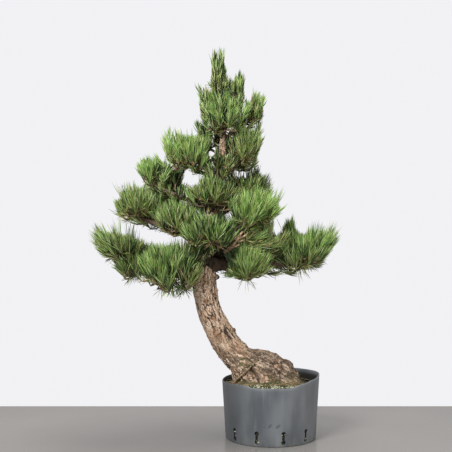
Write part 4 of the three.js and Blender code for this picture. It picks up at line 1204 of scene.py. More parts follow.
# Twigs: from each bough's tip, or straight out of the trunk, a short stem parts into twigs
# that turn up, and each of them ends in a whorl of shoots. The wood is young, rough with
# the stubs of old leaf scales and orange-brown towards the shoots.
GAP = 0.3
STEM_HEART_RADIUS = 3
TRUNK_STEM_RADIUS = 4
BOUGH_STEM_FORKS = 0.5
TRUNK_STEM_FORKS = 0.7
LAST_FORK = 0.98
SEED_STEP = 7919
GOLDEN_ANGLE = math.pi * (3 - math.sqrt(5))
SHOOT_LENGTH = 30
SHOOT_SHORTEST = 0.85
SHOOT_SPREAD = 0.3
SHOOT_DOME = 8
SHOOT_FAN = 0.45
SHOOT_WANDER = 0.12
TWIG_BEND = 0.45
LONG_TWIG = 34
TWIG_RADIUS = 2.8
CORE_RADIUS = 4.4
WOOD_CLEARANCE = 1
FORK_SHARE = 0.15
PIECE_TESTS = (0, 0.2, 0.4, 0.6, 0.8, 1)
TRUNK_TESTS = 40
LIMB_TESTS = 10
FINER_COUNT = 8
FINER_REACH = 27
FINER_LEAN = 0.55
FINER_CLOSE = 9
FINER_LENGTH = (14, 21)
SPRIG_START = 0.36
SPRIG_STEP = 13
# How much narrower than the source's rule some masses fan out
FANS = {"apex_leader": 0.42, "apex_left": 0.85, "apex_right": 0.85, "apex_outer": 0.85, "third_left": 0.85}
# How much of the source's needle length a shoot keeps at each height; its wood grows by the rest
TRIM_HEIGHTS = (430, 560, 740)
TRIMS = (0.94, 0.8, 0.62)
LENGTHS = {
    "third_left": 0.84, "fourth_left": 1.05, "right_upper": 0.94, "upper_front": 0.68, "centre_low": 0.8,
    "second_left_front": 0.88, "centre_upper": 0.9, "low_left_front": 0.84, "low_left_mid": 0.92,
    "low_right_front": 0.9, "apex_leader": 1.12, "right_front": 0.94,
}
# The hubs that the brushes of some masses fan out from, and how strongly
FAN_HUBS = {
    "right_front": ((-88, -54, 494), 1.0), "low_right_tip": ((66, -8, 392), 0.95),
    "low_right_front": ((-58, -64, 366), 0.5), "second_left_tip": ((-298, -10, 506), 0.6),
    "third_left": ((-288, -15, 600), 0.5), "low_left_front": ((-250, -62, 362), 0.2),
    "low_left_tip": ((-322, -12, 408), 0.7), "centre_low": ((-160, -80, 455), 0.4),
}
# Two main shoots whose feet stand further apart than this never crowd each other
CROWD_REACH = 150
# Of finer shoots: how far up the main shoot they stand, and at most how much lower or higher
FINER_CLIMB = 31
FINER_SLIP = (-9, 3)
# Of side shoots: the length of each rank, and how much their twigs bow
SIDE_LENGTHS = (34, 24, 14)
SIDE_BOW = 0.2
# On the trunk's top: where the sprigs start and end, and how far apart they stand
LEADER_SPRIGS = (0.84, 0.995, 7)
STEM_SPRIG_START = 0.3
# Where a shoot is thick and thin: the share of its length, and its radius there
SHOOT_GIRTH = ((0, 2.0), (0.2, 2.3), (0.6, 2.0), (0.9, 1.6), (1, 0.9))
# Of main, finer and smallest twigs: radius, sides and rings
TWIG_GIRTHS = (2.6, 1.9, 1.5)
TWIG_SIDES = (6, 4, 4)
TWIG_RINGS = (7, 6, 6)
TWIG_TAPER = 0.25
STEM_SIDES, STEM_RINGS = 9, 9
TWIG_DARK = (0.09, 0.06, 0.036)
TWIG_PALE = (0.30, 0.205, 0.125)
# Windows and notches of sky in the crown, seen from the front: centre across and up, half
# their length and height, and how far they tilt
WINDOWS = (
    (-199, 629, 22, 9.5, 0),
    (-240, 617, 7, 8, 0),
    (-296, 494, 70, 9, -11),
    (-362, 510, 30, 11, -8),
    (24, 526, 10, 30, -12),
    (52, 556, 24, 9, 0),
    (-143, 700, 8, 14, 0),
    (-70, 645, 34, 6, 0),
    (-54, 856, 12, 31, 0),
    (-22, 690, 9, 16, 0),
    (-187, 750, 8, 7, 0),
    (-184, 812, 9, 32, 0),
    (-152, 908, 8, 38, 0),
    (-107, 930, 6, 22, 0),
    (-203, 752, 15, 8, 0),
    (-268, 696, 8, 20, 0),
    (-321, 630, 12, 12, 0),
    (-381, 592, 9, 8, 30),
    (-362, 613, 22, 6, 22),
    (-393, 566, 12, 16, 0),
    (-463, 486, 16, 16, 0),
    (-436, 448, 42, 13, -57),
    (-386, 401, 28, 8, -32),
    (-399, 514, 20, 8, 0),
    (32, 576, 9, 16, 0),
    (72, 522, 18, 10, 0),
    (82, 510, 18, 8, -8),
    (17, 516, 9, 24, -12),
    (163, 446, 42, 16, 55),
    (156, 418, 60, 14, 38),
    (-14, 660, 12, 12, 0),
    (-9, 803, 10, 17, 8),
    (40, 386, 30, 6, 0),
    (-90, 378, 30, 7, -10),
    (-24, 383, 26, 8, 8),
    (-290, 364, 22, 9, -12),
)
# Hollows of the crown where the needles take painted shade and some old tints, told in the same way, with
# how much darker they are painted
HOLLOWS = (
    (-161, 561, 34, 11, 0, 0.5),
    (-122, 543, 13, 24, 0, 0.6),
    (-259, 512, 44, 11, -16, 0.35),
    (-112, 440, 26, 24, 0, 0.75),
    (-186, 446, 16, 22, 0, 0.6),
    (72, 432, 66, 12, 0, 0.2),
    (0, 458, 28, 30, 0, 0.22),
    (-345, 410, 52, 15, -35, 0.35),
    (-350, 452, 15, 26, -18, 0.35),
    (-130, 668, 14, 34, 0, 0.5),
    (-226, 396, 34, 14, 0, 0.3),
    (-60, 642, 34, 9, 0, 0.4),
)
# Clearings that bare the wood behind the front needles, told in the same way, with how far
# back they reach
CLEARINGS = (
    (-84, 478, 26, 9, 45, -72),
    (-120, 430, 14, 23, 8, -16),
    (-150, 556, 28, 9, -4, -34),
    (-110, 722, 11, 34, 0, -8),
    (-256, 492, 34, 7, -16, -20),
)


def seeded(name, extra=0):
    """The same row of chance numbers from the same name, on every run."""
    state = (sum(map(ord, name)) * SEED_STEP + extra) & 0xFFFFFFFF

    def chance():
        nonlocal state
        state = (state + 0x6D2B79F5) & 0xFFFFFFFF
        mixed = ((state ^ (state >> 15)) * (state | 1)) & 0xFFFFFFFF
        mixed ^= (mixed + (((mixed ^ (mixed >> 7)) * (mixed | 61)) & 0xFFFFFFFF)) & 0xFFFFFFFF
        return (mixed ^ (mixed >> 14)) / 2 ** 32
    return chance


def straight_distance(points, starts, ends):
    """The distance from each point to each straight piece."""
    reach = ends - starts
    share = ((points[:, None] - starts[None]) * reach[None]).sum(-1) / (reach ** 2).sum(-1)[None]
    foot = starts[None] + reach[None] * np.clip(share, 0, 1)[..., None]
    return np.linalg.norm(points[:, None] - foot, axis=-1)


def limb_pieces():
    """Straight pieces of the trunk and the boughs, with the radius of each."""
    lines = [(trunk_line, 1, TRUNK_TESTS, None)]
    lines += [(limb["line"], limb["stop"], LIMB_TESTS, limb) for limb in limbs.values()]
    starts, ends, radii = [], [], []
    for line, stop, count, limb in lines:
        ticks = line.at(np.linspace(0, stop, count + 1))
        middles = (np.arange(count) + 0.5) / count
        starts.append(ticks[:-1])
        ends.append(ticks[1:])
        if limb is None:
            radii.append(line.radius(middles) * (1 + TRUNK_FLUTE))
        else:
            radii.append(limb["foot"] + (limb["tip"] - limb["foot"]) * middles)
    return np.concatenate(starts), np.concatenate(ends), np.concatenate(radii)


wood_starts, wood_ends, wood_radii = limb_pieces()


def wood_gaps(points):
    """How far each point lies out of the bark of each straight piece of trunk and bough."""
    return straight_distance(points, wood_starts, wood_ends) - wood_radii[None]


stems = {}
for name, mass in MASSES.items():
    limb = next((one for one in limbs.values() if one["feeds"] == name), None)
    if limb:
        start = limb["stop"] + GAP / limb["line"].length
        stems[name] = (limb["line"].part(start, 1), limb["tip"], BOUGH_STEM_FORKS)
    else:
        stem = bowed(trunk_point(mass.root), np.array(mass.heart, float), (0, 0, 0))
        stems[name] = (stem, TRUNK_STEM_RADIUS, TRUNK_STEM_FORKS)


def shoot_of(mass, rank, base, way, length, twig, out, **more):
    """One shoot of a mass: its rank, where it stands and which way it grows, the twig that
    feeds it, and how far out of the mass it lies."""
    return {
        "mass": mass, "rank": rank, "base": base, "way": way, "length": length,
        "tip": base + way * length, "twig": twig, "out": out, **more,
    }


def grow_shoots(name):
    """Shoots at turns of the golden angle round the heart of a mass, each fed by a twig."""
    mass = MASSES[name]
    chance = seeded(name)
    phase = chance() * 2 * math.pi
    stem, _, forks = stems[name]
    grown = []
    for i in range(mass.shoots):
        reach = math.sqrt((i + 0.5) / mass.shoots)
        turn = phase + i * GOLDEN_ANGLE
        out = np.array((math.cos(turn) * reach, math.sin(turn) * reach, 0))
        rise = SHOOT_DOME * (1 - 2 * reach * reach) + (chance() - 0.5) * mass.tall
        base = np.array(mass.heart, float) + (out[0] * mass.across, out[1] * mass.deep, rise)
        wander = np.array((chance() - 0.5, chance() - 0.5, 0))
        way = unit(np.array(mass.lean, float) + out * SHOOT_FAN * mass.narrow + wander * SHOOT_WANDER)
        length = SHOOT_LENGTH * (SHOOT_SHORTEST + SHOOT_SPREAD * chance())
        start = stem.at(forks + (LAST_FORK - forks) * chance())
        bend = base - way * TWIG_BEND * np.linalg.norm(start - base)
        twig = bowed(start, base, bend - (start + base) / 2)
        knots = [start, twig.at(0.5), base] if twig.length > LONG_TWIG else [start, base]
        wood = np.array(list(zip(knots[:-1], knots[1:])))
        grown.append(shoot_of(name, 0, base, way, length, twig, out, wood=wood))
    return grown


def touches_limb(shoot):
    tests = [(i + s, a + (b - a) * s) for i, (a, b) in enumerate(shoot["wood"]) for s in PIECE_TESTS]
    twig = wood_gaps(np.array([point for place, point in tests if place > FORK_SHARE]))
    core = wood_gaps(np.array([shoot["base"], shoot["tip"]]))
    return twig.min() < TWIG_RADIUS + WOOD_CLEARANCE or core.min() < CORE_RADIUS + WOOD_CLEARANCE


def crowds(shoot, other):
    apart = shoot["mass"] != other["mass"]
    core = np.array([[shoot["base"], shoot["tip"]]])
    other_core = np.array([[other["base"], other["tip"]]])
    own = np.concatenate([shoot["wood"], core]) if apart else core
    others = np.concatenate([other["wood"], other_core]) if apart else other_core
    points = np.concatenate([a + (b - a) * np.array(PIECE_TESTS)[:, None] for a, b in own])
    return straight_distance(points, others[:, 0], others[:, 1]).min() < 2 * CORE_RADIUS + WOOD_CLEARANCE


shoots = []
for name in MASSES:
    for shoot in grow_shoots(name):
        near = [one for one in shoots if np.linalg.norm(one["base"] - shoot["base"]) < CROWD_REACH]
        if not touches_limb(shoot) and not any(crowds(shoot, other) for other in near):
            shoots.append(shoot)


def finer_shoots(shoot, luck):
    """The finer shoots that part from a main shoot all along it, the lowest leaning out most."""
    side = unit(np.cross(shoot["way"], (0.3, 1, 0.1)))
    over = np.cross(shoot["way"], side)
    narrow = MASSES[shoot["mass"]].narrow * FANS.get(shoot["mass"], 1)
    phase = luck.uniform(0, 2 * math.pi)
    made = []
    for k in range(FINER_COUNT):
        turn = phase + k * GOLDEN_ANGLE + luck.uniform(-0.4, 0.4)
        out = side * math.cos(turn) + over * math.sin(turn)
        place = (k + luck.uniform(0, 0.8)) / FINER_COUNT
        reach = (FINER_REACH - FINER_CLOSE * place) * luck.uniform(0.7, 1.2) * narrow
        lean = (FINER_LEAN - 0.3 * place) * luck.uniform(0.5, 1.3) * narrow
        climb = shoot["way"] * (FINER_CLIMB * place + luck.uniform(*FINER_SLIP)) * (1.5 - shoot["trim"])
        base = shoot["base"] + out * reach + climb
        way = unit(shoot["way"] + out * lean + (0, 0, 0.15))
        if shoot["mass"] in FAN_HUBS:
            hub, pull = FAN_HUBS[shoot["mass"]]
            way = unit(way + pull * unit(base - hub))
        start = shoot["twig"].at(0.85) if place < 0.5 else shoot["base"] + shoot["way"] * 10 * place
        bend = base - way * 0.3 * np.linalg.norm(start - base)
        twig = bowed(start, base, bend - (start + base) / 2)
        length = luck.uniform(*FINER_LENGTH)
        finer = shoot_of(shoot["mass"], 1, base, way, length, twig, shoot["out"], trim=shoot["trim"])
        if wood_gaps(np.array([base, finer["tip"]])).min() > TWIG_RADIUS:
            made.append(finer)
    return made


def sprigs_along(line, first, last, step, mass, luck):
    """Small sprigs that stand along a bough or a stem, most of them low on its sides."""
    count = int(line.length * (last - first) / step)
    made = []
    for k in range(count):
        place = first + (last - first) * (k + luck.uniform(0.2, 0.8)) / count
        along = line.way(place)
        level = unit(np.cross(along, (0.1, 0.2, 1)))
        over = np.cross(along, level)
        turn = k * GOLDEN_ANGLE + luck.uniform(-0.5, 0.5)
        out = unit(level * math.cos(turn) + over * math.sin(turn) - (0, 0, 0.2))
        start = line.at(place)
        base = start + out * (line.radius(place) + luck.uniform(5, 14)) + along * luck.uniform(3, 12)
        way = unit(out * 0.8 + along * 0.7 + (0, 0, 0.4))
        made.append(shoot_of(mass, 2, base, way, luck.uniform(10, 18), bowed(start, base, out * 3), out))
    return made


def seen_from_front(points):
    """Where each point shows across and up in the front view."""
    front = CAMERA_PLACE[1] / MM
    nearness = front / (front - points[:, 1])
    across = (points[:, 0] - CAMERA_PLACE[0] / MM) * nearness + CAMERA_PLACE[0] / MM
    return across, (points[:, 2] - CAMERA_PLACE[2] / MM) * nearness + CAMERA_PLACE[2] / MM


def within(across, up, x, z, long, short, tilt):
    """How far each place lies out in a tilted oval, which ends at 1."""
    turn = math.radians(tilt)
    one = ((across - x) * math.cos(turn) + (up - z) * math.sin(turn)) / long
    other = ((up - z) * math.cos(turn) - (across - x) * math.sin(turn)) / short
    return one ** 2 + other ** 2


def opened(points, ragged=0.0):
    """The points that lie in a window of the crown where the light comes through. A ragged
    window has no clean edge."""
    across, up = seen_from_front(points)
    inside = np.zeros(len(points), bool)
    edge = 1 + ragged * (2 * chance_at(np.floor(points).astype(np.int64), 90) - 1)
    for oval in WINDOWS:
        inside |= within(across, up, *oval) < edge
    for *oval, back in CLEARINGS:
        inside |= (within(across, up, *oval) < edge) & (points[:, 1] < back)
    return inside


def shaded(points):
    """How much painted shade the foliage takes at each point for lying in a hollow of the crown."""
    across, up = seen_from_front(points)
    drop = np.zeros(len(points))
    for *oval, darker in HOLLOWS:
        drop = np.maximum(drop, darker * (1 - eased(within(across, up, *oval) - 0.6)))
    return drop


# Single shoots that fill out a mass: place of the foot, the way each grows and its rank
SIDE_SHOOTS = {
    "apex_leader": (
        ((-123, 0, 900), (0.02, 0, 1), 1), ((-117, 4, 850), (0.12, 0, 1), 1),
        ((-113, 8, 822), (0.1, 0.1, 1), 1),
        ((-118, -10, 846), (0.05, -0.1, 1), 1), ((-128, -10, 836), (-0.02, -0.15, 1), 1),
        ((-110, -8, 832), (0.1, -0.1, 1), 1), ((-124, -4, 872), (0.02, -0.05, 1), 1),
        ((-134, -12, 826), (-0.1, -0.15, 1), 1), ((-125, -16, 840), (0, -0.15, 1), 1),
        ((-119, -16, 824), (0.05, -0.2, 1), 1),
    ),
    "apex_outer": (
        ((-36, 4, 795), (0.3, 0, 1), 1), ((-66, -6, 764), (0.35, -0.1, 1), 1),
        ((-80, -12, 750), (0.5, -0.2, 0.8), 1), ((-58, -8, 752), (0.5, 0, 0.7), 1),
        ((-30, 4, 790), (0.4, 0, 1), 1), ((-40, 6, 776), (0.45, 0, 1), 1), ((-36, 4, 804), (0.2, 0, 1), 1),
    ),
    "upper_left_back": (
        ((-166, 26, 716), (-0.3, 0.1, 1), 1), ((-150, 20, 694), (-0.15, 0.1, 1), 1),
        ((-160, 30, 736), (-0.35, 0, 1), 1),
        ((-172, 30, 744), (-0.3, 0, 1), 1), ((-152, 28, 760), (-0.45, 0, 0.9), 1),
    ),
    "apex_front": (((-88, -18, 738), (0.3, -0.2, 1), 1), ((-76, -12, 728), (0.3, -0.1, 1), 1)),
    "right_upper": (
        ((-38, -4, 716), (0.35, 0, 1), 1), ((-52, -30, 700), (0.2, -0.2, 1), 1),
        ((-37, -2, 736), (0.25, 0, 1), 1),
    ),
    "apex_right": (((-84, 3, 846), (-0.05, 0, 1), 1), ((-102, 6, 836), (0.1, 0, 1), 1)),
    "fourth_left": (
        ((-226, -18, 698), (-0.05, 0, 1), 1), ((-212, -14, 702), (0, 0, 1), 1),
        ((-234, -14, 686), (0.02, 0, 1), 1), ((-243, -18, 704), (-0.16, 0, 1), 1),
    ),
    "third_left": (
        ((-300, -15, 636), (-0.1, 0, 1), 1), ((-302, -15, 630), (-0.6, 0, 0.9), 1),
        ((-280, -30, 600), (-0.5, -0.3, 0.6), 2),
        ((-264, -32, 594), (-0.2, -0.4, 0.8), 2), ((-246, -32, 588), (0.1, -0.4, 0.8), 2),
        ((-228, -30, 582), (0.1, -0.4, 0.8), 2), ((-210, -30, 578), (0, -0.4, 0.8), 2),
        ((-202, 12, 588), (0, 0.1, 1), 1), ((-190, -8, 580), (0.1, -0.2, 1), 1),
        ((-218, 8, 590), (0, 0.1, 1), 2),
        ((-200, -32, 572), (0.05, -0.3, 0.9), 1), ((-184, -34, 568), (0.1, -0.3, 0.9), 2),
    ),
    "low_right_tip": (
        ((118, -8, 440), (0.5, 0, 1), 0), ((86, -14, 452), (0.15, 0, 1), 1),
        ((136, -8, 452), (0.5, 0, 1), 1),
    ),
    "right_mid": (
        ((-23, 34, 594), (0.1, 0, 1), 1), ((-12, 32, 576), (0.2, 0, 1), 1), ((-34, 30, 604), (0, 0, 1), 1),
    ),
    "low_left_tip": (
        ((-404, -12, 468), (-0.5, 0, 1), 1), ((-388, -18, 440), (-0.8, -0.2, 0.1), 2),
        ((-398, -16, 446), (-0.8, -0.2, 0.2), 2),
    ),
    "low_left_front": (
        ((-248, -62, 384), (-0.1, -0.3, -1), 2), ((-238, -58, 382), (0.1, -0.2, -1), 2),
        ((-228, -60, 384), (0.2, -0.3, -0.8), 2), ((-256, -56, 386), (-0.3, -0.2, -0.8), 2),
    ),
    "right_under": (
        ((-62, -78, 484), (0.9, -0.35, 0.05), 1), ((-54, -72, 474), (0.9, -0.3, -0.25), 1),
        ((-66, -74, 468), (0.7, -0.35, -0.5), 1), ((-40, -66, 470), (0.9, -0.2, -0.1), 1),
    ),
    "low_right_front": (((-112, -6, 402), (0.2, -0.4, -0.1), 2), ((-104, 20, 398), (0.3, 0.1, 0.1), 2)),
}


def nearest_wood(place, mass):
    """The point that a side shoot parts from: on the mass's stem or on the bough behind it."""
    lines = [stems[mass][0]] + [limb["line"] for limb in limbs.values() if limb["feeds"] == mass]
    points = np.concatenate([line.at(np.linspace(0.1, 0.9, 30)) for line in lines])
    return points[np.linalg.norm(points - place, axis=1).argmin()]


luck = np.random.default_rng(41)
all_shoots = []
for shoot in shoots:
    shoot["trim"] = np.interp(shoot["base"][2], TRIM_HEIGHTS, TRIMS)
    shoot["length"] += MASSES[shoot["mass"]].needle * (1 - shoot["trim"]) * 0.75
    shoot["length"] *= LENGTHS.get(shoot["mass"], 1)
    shoot["tip"] = shoot["base"] + shoot["way"] * shoot["length"]
    family = [shoot] + finer_shoots(shoot, luck)
    ends = np.array([[one["base"], one["tip"], one["twig"].at(0.6)] for one in family])
    hidden = opened(ends[:, 0]) | opened(ends[:, 1]) | opened(ends[:, 2])
    all_shoots += [one for one, gone in zip(family, hidden) if not gone]
sprigs = sprigs_along(trunk_line, *LEADER_SPRIGS, "apex_left", luck)
for limb in limbs.values():
    points = limb["line"].points
    bough = Line(points, np.full(len(points), 0.5 * (limb["foot"] + limb["tip"])))
    sprigs += sprigs_along(bough, SPRIG_START, limb["stop"], SPRIG_STEP, limb["feeds"], luck)
for name, (stem, _, _) in stems.items():
    sprigs += sprigs_along(stem, STEM_SPRIG_START, 1, SPRIG_STEP, name, luck)
for name, ones in SIDE_SHOOTS.items():
    for base, way, rank in ones:
        base, way = np.array(base, float), unit(np.array(way, float))
        start = nearest_wood(base, name)
        twig = bowed(start, base, -way * SIDE_BOW * np.linalg.norm(base - start))
        sprigs.append(shoot_of(name, rank, base, way, SIDE_LENGTHS[rank], twig, np.zeros(3)))
for sprig in sprigs:
    if not opened(np.array([sprig["base"], sprig["tip"]])).any():
        all_shoots.append(sprig)

twig_parts = []
for stem, radius, _ in stems.values():
    steps = np.linspace(0, 1, STEM_RINGS)
    radii = radius + (STEM_HEART_RADIUS - radius) * steps
    twig_parts.append(tube(stem, steps, radii * (1 + 0.08 * np.sin(steps * 17)), STEM_SIDES))
for shoot in all_shoots:
    rank = shoot["rank"]
    girth = TWIG_GIRTHS[rank]
    steps = np.linspace(0, 1, TWIG_RINGS[rank])
    twig_parts.append(tube(shoot["twig"], steps, girth * (1 - TWIG_TAPER * steps), TWIG_SIDES[rank]))
    core = Line([shoot["base"] - shoot["way"] * 2, shoot["tip"]], [1, 1])
    steps, radii = np.array(SHOOT_GIRTH).T
    twig_parts.append(tube(core, steps, radii * girth / TWIG_GIRTHS[0], TWIG_SIDES[rank]))
twig_wood = Finish("twig_bark", Roughness=0.85, Specular_IOR_Level=0.25)
scales = twig_wood.noise(twig_wood.place, 0.002)
twig_wood.feed("Base Color", twig_wood.mix(TWIG_DARK, TWIG_PALE, twig_wood.between(scales, 0.35, 0.7)))
twig_wood.relief(scales, 0.0012)
piece("twigs", mesh_of("twigs", *joined(twig_parts)), twig_wood, "bark")


# Front fork: an older bare twig that shows in the middle of the crown, orange-brown where
# its papery bark has peeled, with the stumps of pruned shoots on it.
FRONT_FORKS = (
    ((-112, -56, 454, 4), (-98, -82, 466, 3.5), (-82, -94, 486, 3), (-70, -88, 504, 2)),
    ((-99, -84, 465, 2.6), (-88, -92, 468, 2.2), (-78, -92, 473, 1.6)),
    ((-84, -92, 482, 2.8), (-88, -98, 493, 2.4), (-86, -98, 503, 1.5)),
    ((-80, -94, 488, 2.6), (-70, -98, 491, 2.2), (-61, -98, 498, 1.4)),
    ((-86, -92, 481, 2.2), (-76, -98, 481, 1.8), (-68, -98, 484, 1.4)),
)
FORK_TINTS = ((0.16, 0.09, 0.048), (0.76, 0.52, 0.33))
fork_lines = [smooth_line(stations, steps=12) for stations in FRONT_FORKS]
fork_mesh = mesh_of("front_fork", *joined([rough_tube(line, 40, 12, 0.32, 6) for line in fork_lines]))
peeled, flecks = flecked("peeled_bark", FORK_TINTS, 0.004, 0.35, 0.68, detail=4, Roughness=0.8)
peeled.relief(flecks, 0.001)
piece("front_fork", fork_mesh, peeled, "bark")


# Needles: stiff pairs that stand out of papery sheaths all round each shoot, longest in its
# middle and closing towards its tip. The lit ones are painted fresh green, those in painted
# shade and on the older wood darker, with pale painted highlights, and the oldest are olive,
# bronze and straw-coloured.
NEEDLE_RADIUS = 0.74
# Of main, finer and smallest shoots: pairs of needles, the share of its mass's needle length,
# degrees that the lowest needles stand off by, and pairs on the twig below it
PAIRS = (40, 21, 16)
NEEDLE_SHARES = (0.98, 0.77, 0.64)
FOOT_ANGLES = (47, 44, 58)
OLD_PAIRS = (26, 6, 5)
TIP_ANGLE = 7
TWIN_ANGLE = 3.5
SHEATH = 1.2
# How long the needles at a shoot's foot are, as a share of those from its middle on
FOOT_GROWTH = 0.72
# How much of its length a needle keeps that would end in a window of the crown
CUT_SHORT = 0.72
NEEDLE_CLEARANCE = 0.5
SWEEP = 0.25
# Shoots that shade a place from above: between these heights over it, within a cone of this
# reach and spread, and how many of them shade it fully
COVER_HEIGHTS = (30, 200)
COVER_REACH = 18
COVER_SPREAD = 0.4
COVER_FULL = 36
# Painted shade on a spray's needles: under shoots above it, near the trunk, on its mass's underside, whose
# needles are also older, and on finer shoots
COVER_SHADE = 0.14
TRUNK_SHADE = 0.4
TRUNK_SHADE_REACH = 75
UNDERSIDE = 40
UNDERSIDE_TOP = 14
UNDERSIDE_SHADE = 0.16
UNDERSIDE_AGE = 0.13
RANK_SHADE = 0.08
# How much painted shade darkens the needles on the twigs, and how much older they are
OLD_SHADE = 0.3
OLD_AGE = 0.3
# Needle greens: from gloom to fresh one green painted darker or lighter as painted shade and light, pale as
# a painted highlight, and olive, bronze and straw as old needles' own colours
TINTS = {
    "fresh": (0.36, 0.53, 0.15),
    "bright": (0.265, 0.44, 0.09),
    "leaf": (0.20, 0.35, 0.078),
    "cool": (0.16, 0.28, 0.095),
    "deep": (0.088, 0.165, 0.04),
    "shade": (0.045, 0.082, 0.025),
    "gloom": (0.017, 0.032, 0.011),
    "olive": (0.295, 0.335, 0.095),
    "bronze": (0.29, 0.25, 0.10),
    "straw": (0.54, 0.44, 0.24),
    "pale": (0.50, 0.61, 0.28),
}
# The share of needles painted pale as a painted highlight, less in the hollows
PAINTED_HIGHLIGHT_SHARE = 0.145
VALUE_SPREAD = 0.47
# The tints of painted shade and light from dark to bright, each up to how bright a needle's spray is
# painted
LADDER = (
    (-0.02, "gloom"), (0.15, "shade"), (0.33, "deep"), (0.46, "cool"), (0.66, "leaf"),
    (0.88, "bright"), (9, "fresh"),
)
# The tints of old needles, and how many of them take each
OLD_TINTS = {"olive": 0.68, "bronze": 0.22, "straw": 0.1}
# The share of old needles in a mass
AGES = {
    "apex_leader": 0.16, "apex_left": 0.24, "apex_right": 0.28, "apex_outer": 0.2, "apex_front": 0.08,
    "right_upper": 0.28, "fourth_left": 0.15, "third_left": 0.03, "third_left_back": 0.05,
    "upper_left_back": 0.06, "second_left_tip": 0.3, "centre_low": 0.1, "low_left_front": 0.1,
    "right_front": 0.06, "right_under": 0.36, "low_right_tip": 0.13, "low_right_mid": 0.28,
    "low_right_front": 0.14,
}
USUAL_AGE = 0.22
UP = np.array((0, 0, 1))


def clear_of_wood(foot, way, length, bend):
    """The needles that pass no trunk and no bough, and leave the crown's windows open. Those
    that end in a window are cut shorter first."""
    fine = np.ones(len(foot), bool)
    length *= np.where(opened(foot + way * length[:, None] + bend, 0.5), CUT_SHORT, 1)
    for share in (0.35, 0.65, 1.0):
        points = foot + way * (length * share)[:, None] + bend * share ** 2
        fine &= ~opened(points, 0.8)
        for start in range(0, len(points), BATCH):
            some = slice(start, start + BATCH)
            fine[some] &= wood_gaps(points[some]).min(1) > NEEDLE_CLEARANCE
    return fine


luck = np.random.default_rng(7)
sprays = {tint: [] for tint in TINTS}
limits = np.array([limit for limit, _ in LADDER])
tints = [tint for _, tint in LADDER] + list(OLD_TINTS) + ["pale"]


def deal(foot, way, length, bend, value, age):
    """Needles dealt to their tints: by how bright their spray is painted, less the painted shade of the
    crown's hollows, with pale painted highlights, and by how old each one is.
    """
    count = len(foot)
    drop = shaded(foot + 0.5 * way * length[:, None])
    rung = np.searchsorted(limits, value - drop + luck.normal(0.02, VALUE_SPREAD * (1 - 0.5 * drop), count))
    old = luck.uniform(size=count) < age * (1 - drop) + 0.12 * drop
    kind = np.where(luck.uniform(size=count) < PAINTED_HIGHLIGHT_SHARE * (1 - drop), tints.index("pale"), rung)
    kind = np.where(old, len(LADDER) + luck.choice(3, count, p=tuple(OLD_TINTS.values())), kind)
    for k, tint in enumerate(tints):
        own = kind == k
        if own.any():
            sprays[tint].append((foot[own], way[own], length[own], bend[own]))


roof = np.array([shoot["base"] for shoot in all_shoots if shoot["rank"] < 2])


def cover(place):
    """How far other shoots shade a place from above, from 0 to 1."""
    gap = roof - place
    beside = np.hypot(gap[:, 0], gap[:, 1]) < COVER_REACH + COVER_SPREAD * gap[:, 2]
    above = (gap[:, 2] > COVER_HEIGHTS[0]) & (gap[:, 2] < COVER_HEIGHTS[1])
    return min(1, (above & beside).sum() / COVER_FULL)


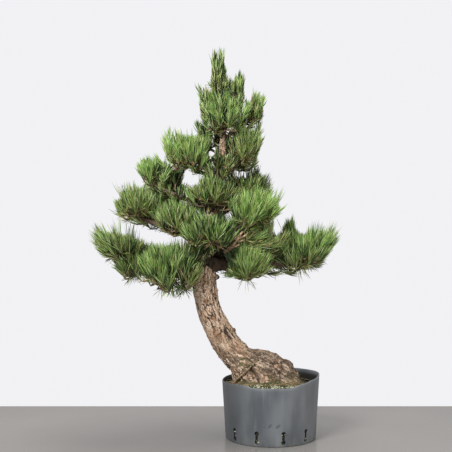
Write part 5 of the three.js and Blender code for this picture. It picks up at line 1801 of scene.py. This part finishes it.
for shoot in all_shoots:
    rank = shoot["rank"]
    mass = MASSES[shoot["mass"]]
    pairs = PAIRS[rank]
    trim = shoot.get("trim", np.interp(shoot["base"][2], TRIM_HEIGHTS, TRIMS))
    needle = mass.needle * NEEDLE_SHARES[rank] * trim * LENGTHS.get(shoot["mass"], 1)
    needle = needle * luck.uniform(0.84, 1.12)
    narrow = mass.narrow * FANS.get(shoot["mass"], 1)
    # Outer shoots are painted lighter, and finer, covered, low and near-trunk shoots take painted shade
    value = mass.bright + 0.12 * (np.hypot(*shoot["out"][:2]) - 0.6) - RANK_SHADE * rank
    value += luck.uniform(-0.2, 0.2)
    value -= COVER_SHADE * cover(shoot["base"])
    under = np.clip((mass.heart[2] + UNDERSIDE_TOP - shoot["base"][2]) / UNDERSIDE, 0, 1)
    value -= UNDERSIDE_SHADE * under
    age = AGES.get(shoot["mass"], USUAL_AGE) + UNDERSIDE_AGE * under
    beside = np.linalg.norm(shoot["base"] - trunk_point(shoot["base"][2]))
    value -= TRUNK_SHADE * max(0, 1 - beside / TRUNK_SHADE_REACH)
    share = (np.arange(pairs) + luck.uniform(0.2, 0.8, pairs)) / pairs
    turn = np.arange(pairs) * GOLDEN_ANGLE + luck.uniform(0, 6.3)
    side = unit(np.cross(shoot["way"], (0.2, 1, 0.1)))
    over = np.cross(shoot["way"], side)
    out = np.cos(turn)[:, None] * side + np.sin(turn)[:, None] * over
    angle = np.radians((FOOT_ANGLES[rank] + (TIP_ANGLE - FOOT_ANGLES[rank]) * share ** 0.5) * narrow)
    angle = angle + np.radians(luck.normal(0, 9, pairs))
    way = shoot["way"] * np.cos(angle)[:, None] + out * np.sin(angle)[:, None]
    way = unit(way + UP * (SWEEP * (1 - way[:, 2]))[:, None])
    foot = shoot["base"] + shoot["way"] * (shoot["length"] * share)[:, None] + out * SHEATH
    growth = FOOT_GROWTH + (1 - FOOT_GROWTH) * np.minimum(2 * share, 1)
    for twin in (-1, 1):
        part = unit(np.cross(way, luck.normal(size=(pairs, 3))))
        own = unit(way + part * twin * np.radians(TWIN_ANGLE))
        length = needle * luck.uniform(0.84, 1.08, pairs) * growth
        bend = UP * (length * luck.uniform(0.02, 0.1, pairs))[:, None]
        bend = bend + part * (length * luck.uniform(-0.04, 0.04, pairs))[:, None]
        # Needles low on a shoot take painted shade and are older
        deal(foot, own, length, bend, value - 0.25 * (1 - share) ** 2, age * (0.6 + 0.9 * (1 - share)))
    old = OLD_PAIRS[rank]
    place = luck.uniform(0.2, 1.0, old)
    along = shoot["twig"].way(place)
    around = unit(np.cross(along, luck.normal(size=(old, 3))))
    own = unit(around + along * luck.uniform(0.7, 1.8, old)[:, None] + (0, 0, 0.3))
    length = needle * luck.uniform(0.4, 0.8, old)
    bend = -UP * (length * luck.uniform(-0.05, 0.15, old))[:, None]
    deal(shoot["twig"].at(place), own, length, bend, value - OLD_SHADE, min(0.8, age + OLD_AGE))

for tint, colour in TINTS.items():
    foot, way, length, bend = (np.concatenate(column) for column in zip(*sprays[tint]))
    fine = clear_of_wood(foot, way, length, bend)
    foot, way, length, bend = (array[fine] for array in (foot, way, length, bend))
    radius = NEEDLE_RADIUS * luck.uniform(0.85, 1.1, len(foot))
    leaf = Finish(f"needles_{tint}", Base_Color=colour + (1,), Roughness=0.45, Specular_IOR_Level=0.4)
    nodes = [f"foliage_{name}" for name in MASSES] if tint == "bright" else []
    faceted(f"needles_{tint}", blades(foot, way, length, bend, radius, luck), leaf, "needles", *nodes)


# Bud scales: orange-brown papery scales and the stubs of fallen sheaths, in a ruff at the
# foot of each main shoot, with the blunt winter bud at its tip.
SCALE_COLOUR = (0.37, 0.235, 0.13, 1)
SCALE_LENGTH = (5, 11)
# How many scales main and finer shoots have, and where they stand along the twig
SCALE_COUNTS = (9, 3)
SCALE_PLACE = (0.72, 1.0)
BUD_LENGTH = 13.0
BUD_SINK = 3
luck = np.random.default_rng(23)
feet, ways, lengths = [], [], []
for shoot in all_shoots:
    if shoot["rank"] > 1:
        continue
    count = SCALE_COUNTS[shoot["rank"]]
    place = luck.uniform(*SCALE_PLACE, count)
    out = unit(np.cross(shoot["way"], luck.normal(size=(count, 3))))
    feet += [shoot["twig"].at(place), shoot["tip"][None] - shoot["way"] * BUD_SINK]
    ways += [unit(out + shoot["way"] * luck.uniform(0.3, 1.6, count)[:, None]), shoot["way"][None]]
    lengths += [luck.uniform(*SCALE_LENGTH, count), [BUD_LENGTH]]
foot, way, length = np.concatenate(feet), np.concatenate(ways), np.concatenate(lengths)
radius = luck.uniform(0.9, 1.4, len(foot))
papery = Finish("bud_scale", Base_Color=SCALE_COLOUR, Roughness=0.8)
faceted("bud_scales", blades(foot, way, length, way * 0, radius, luck), papery, "bark")
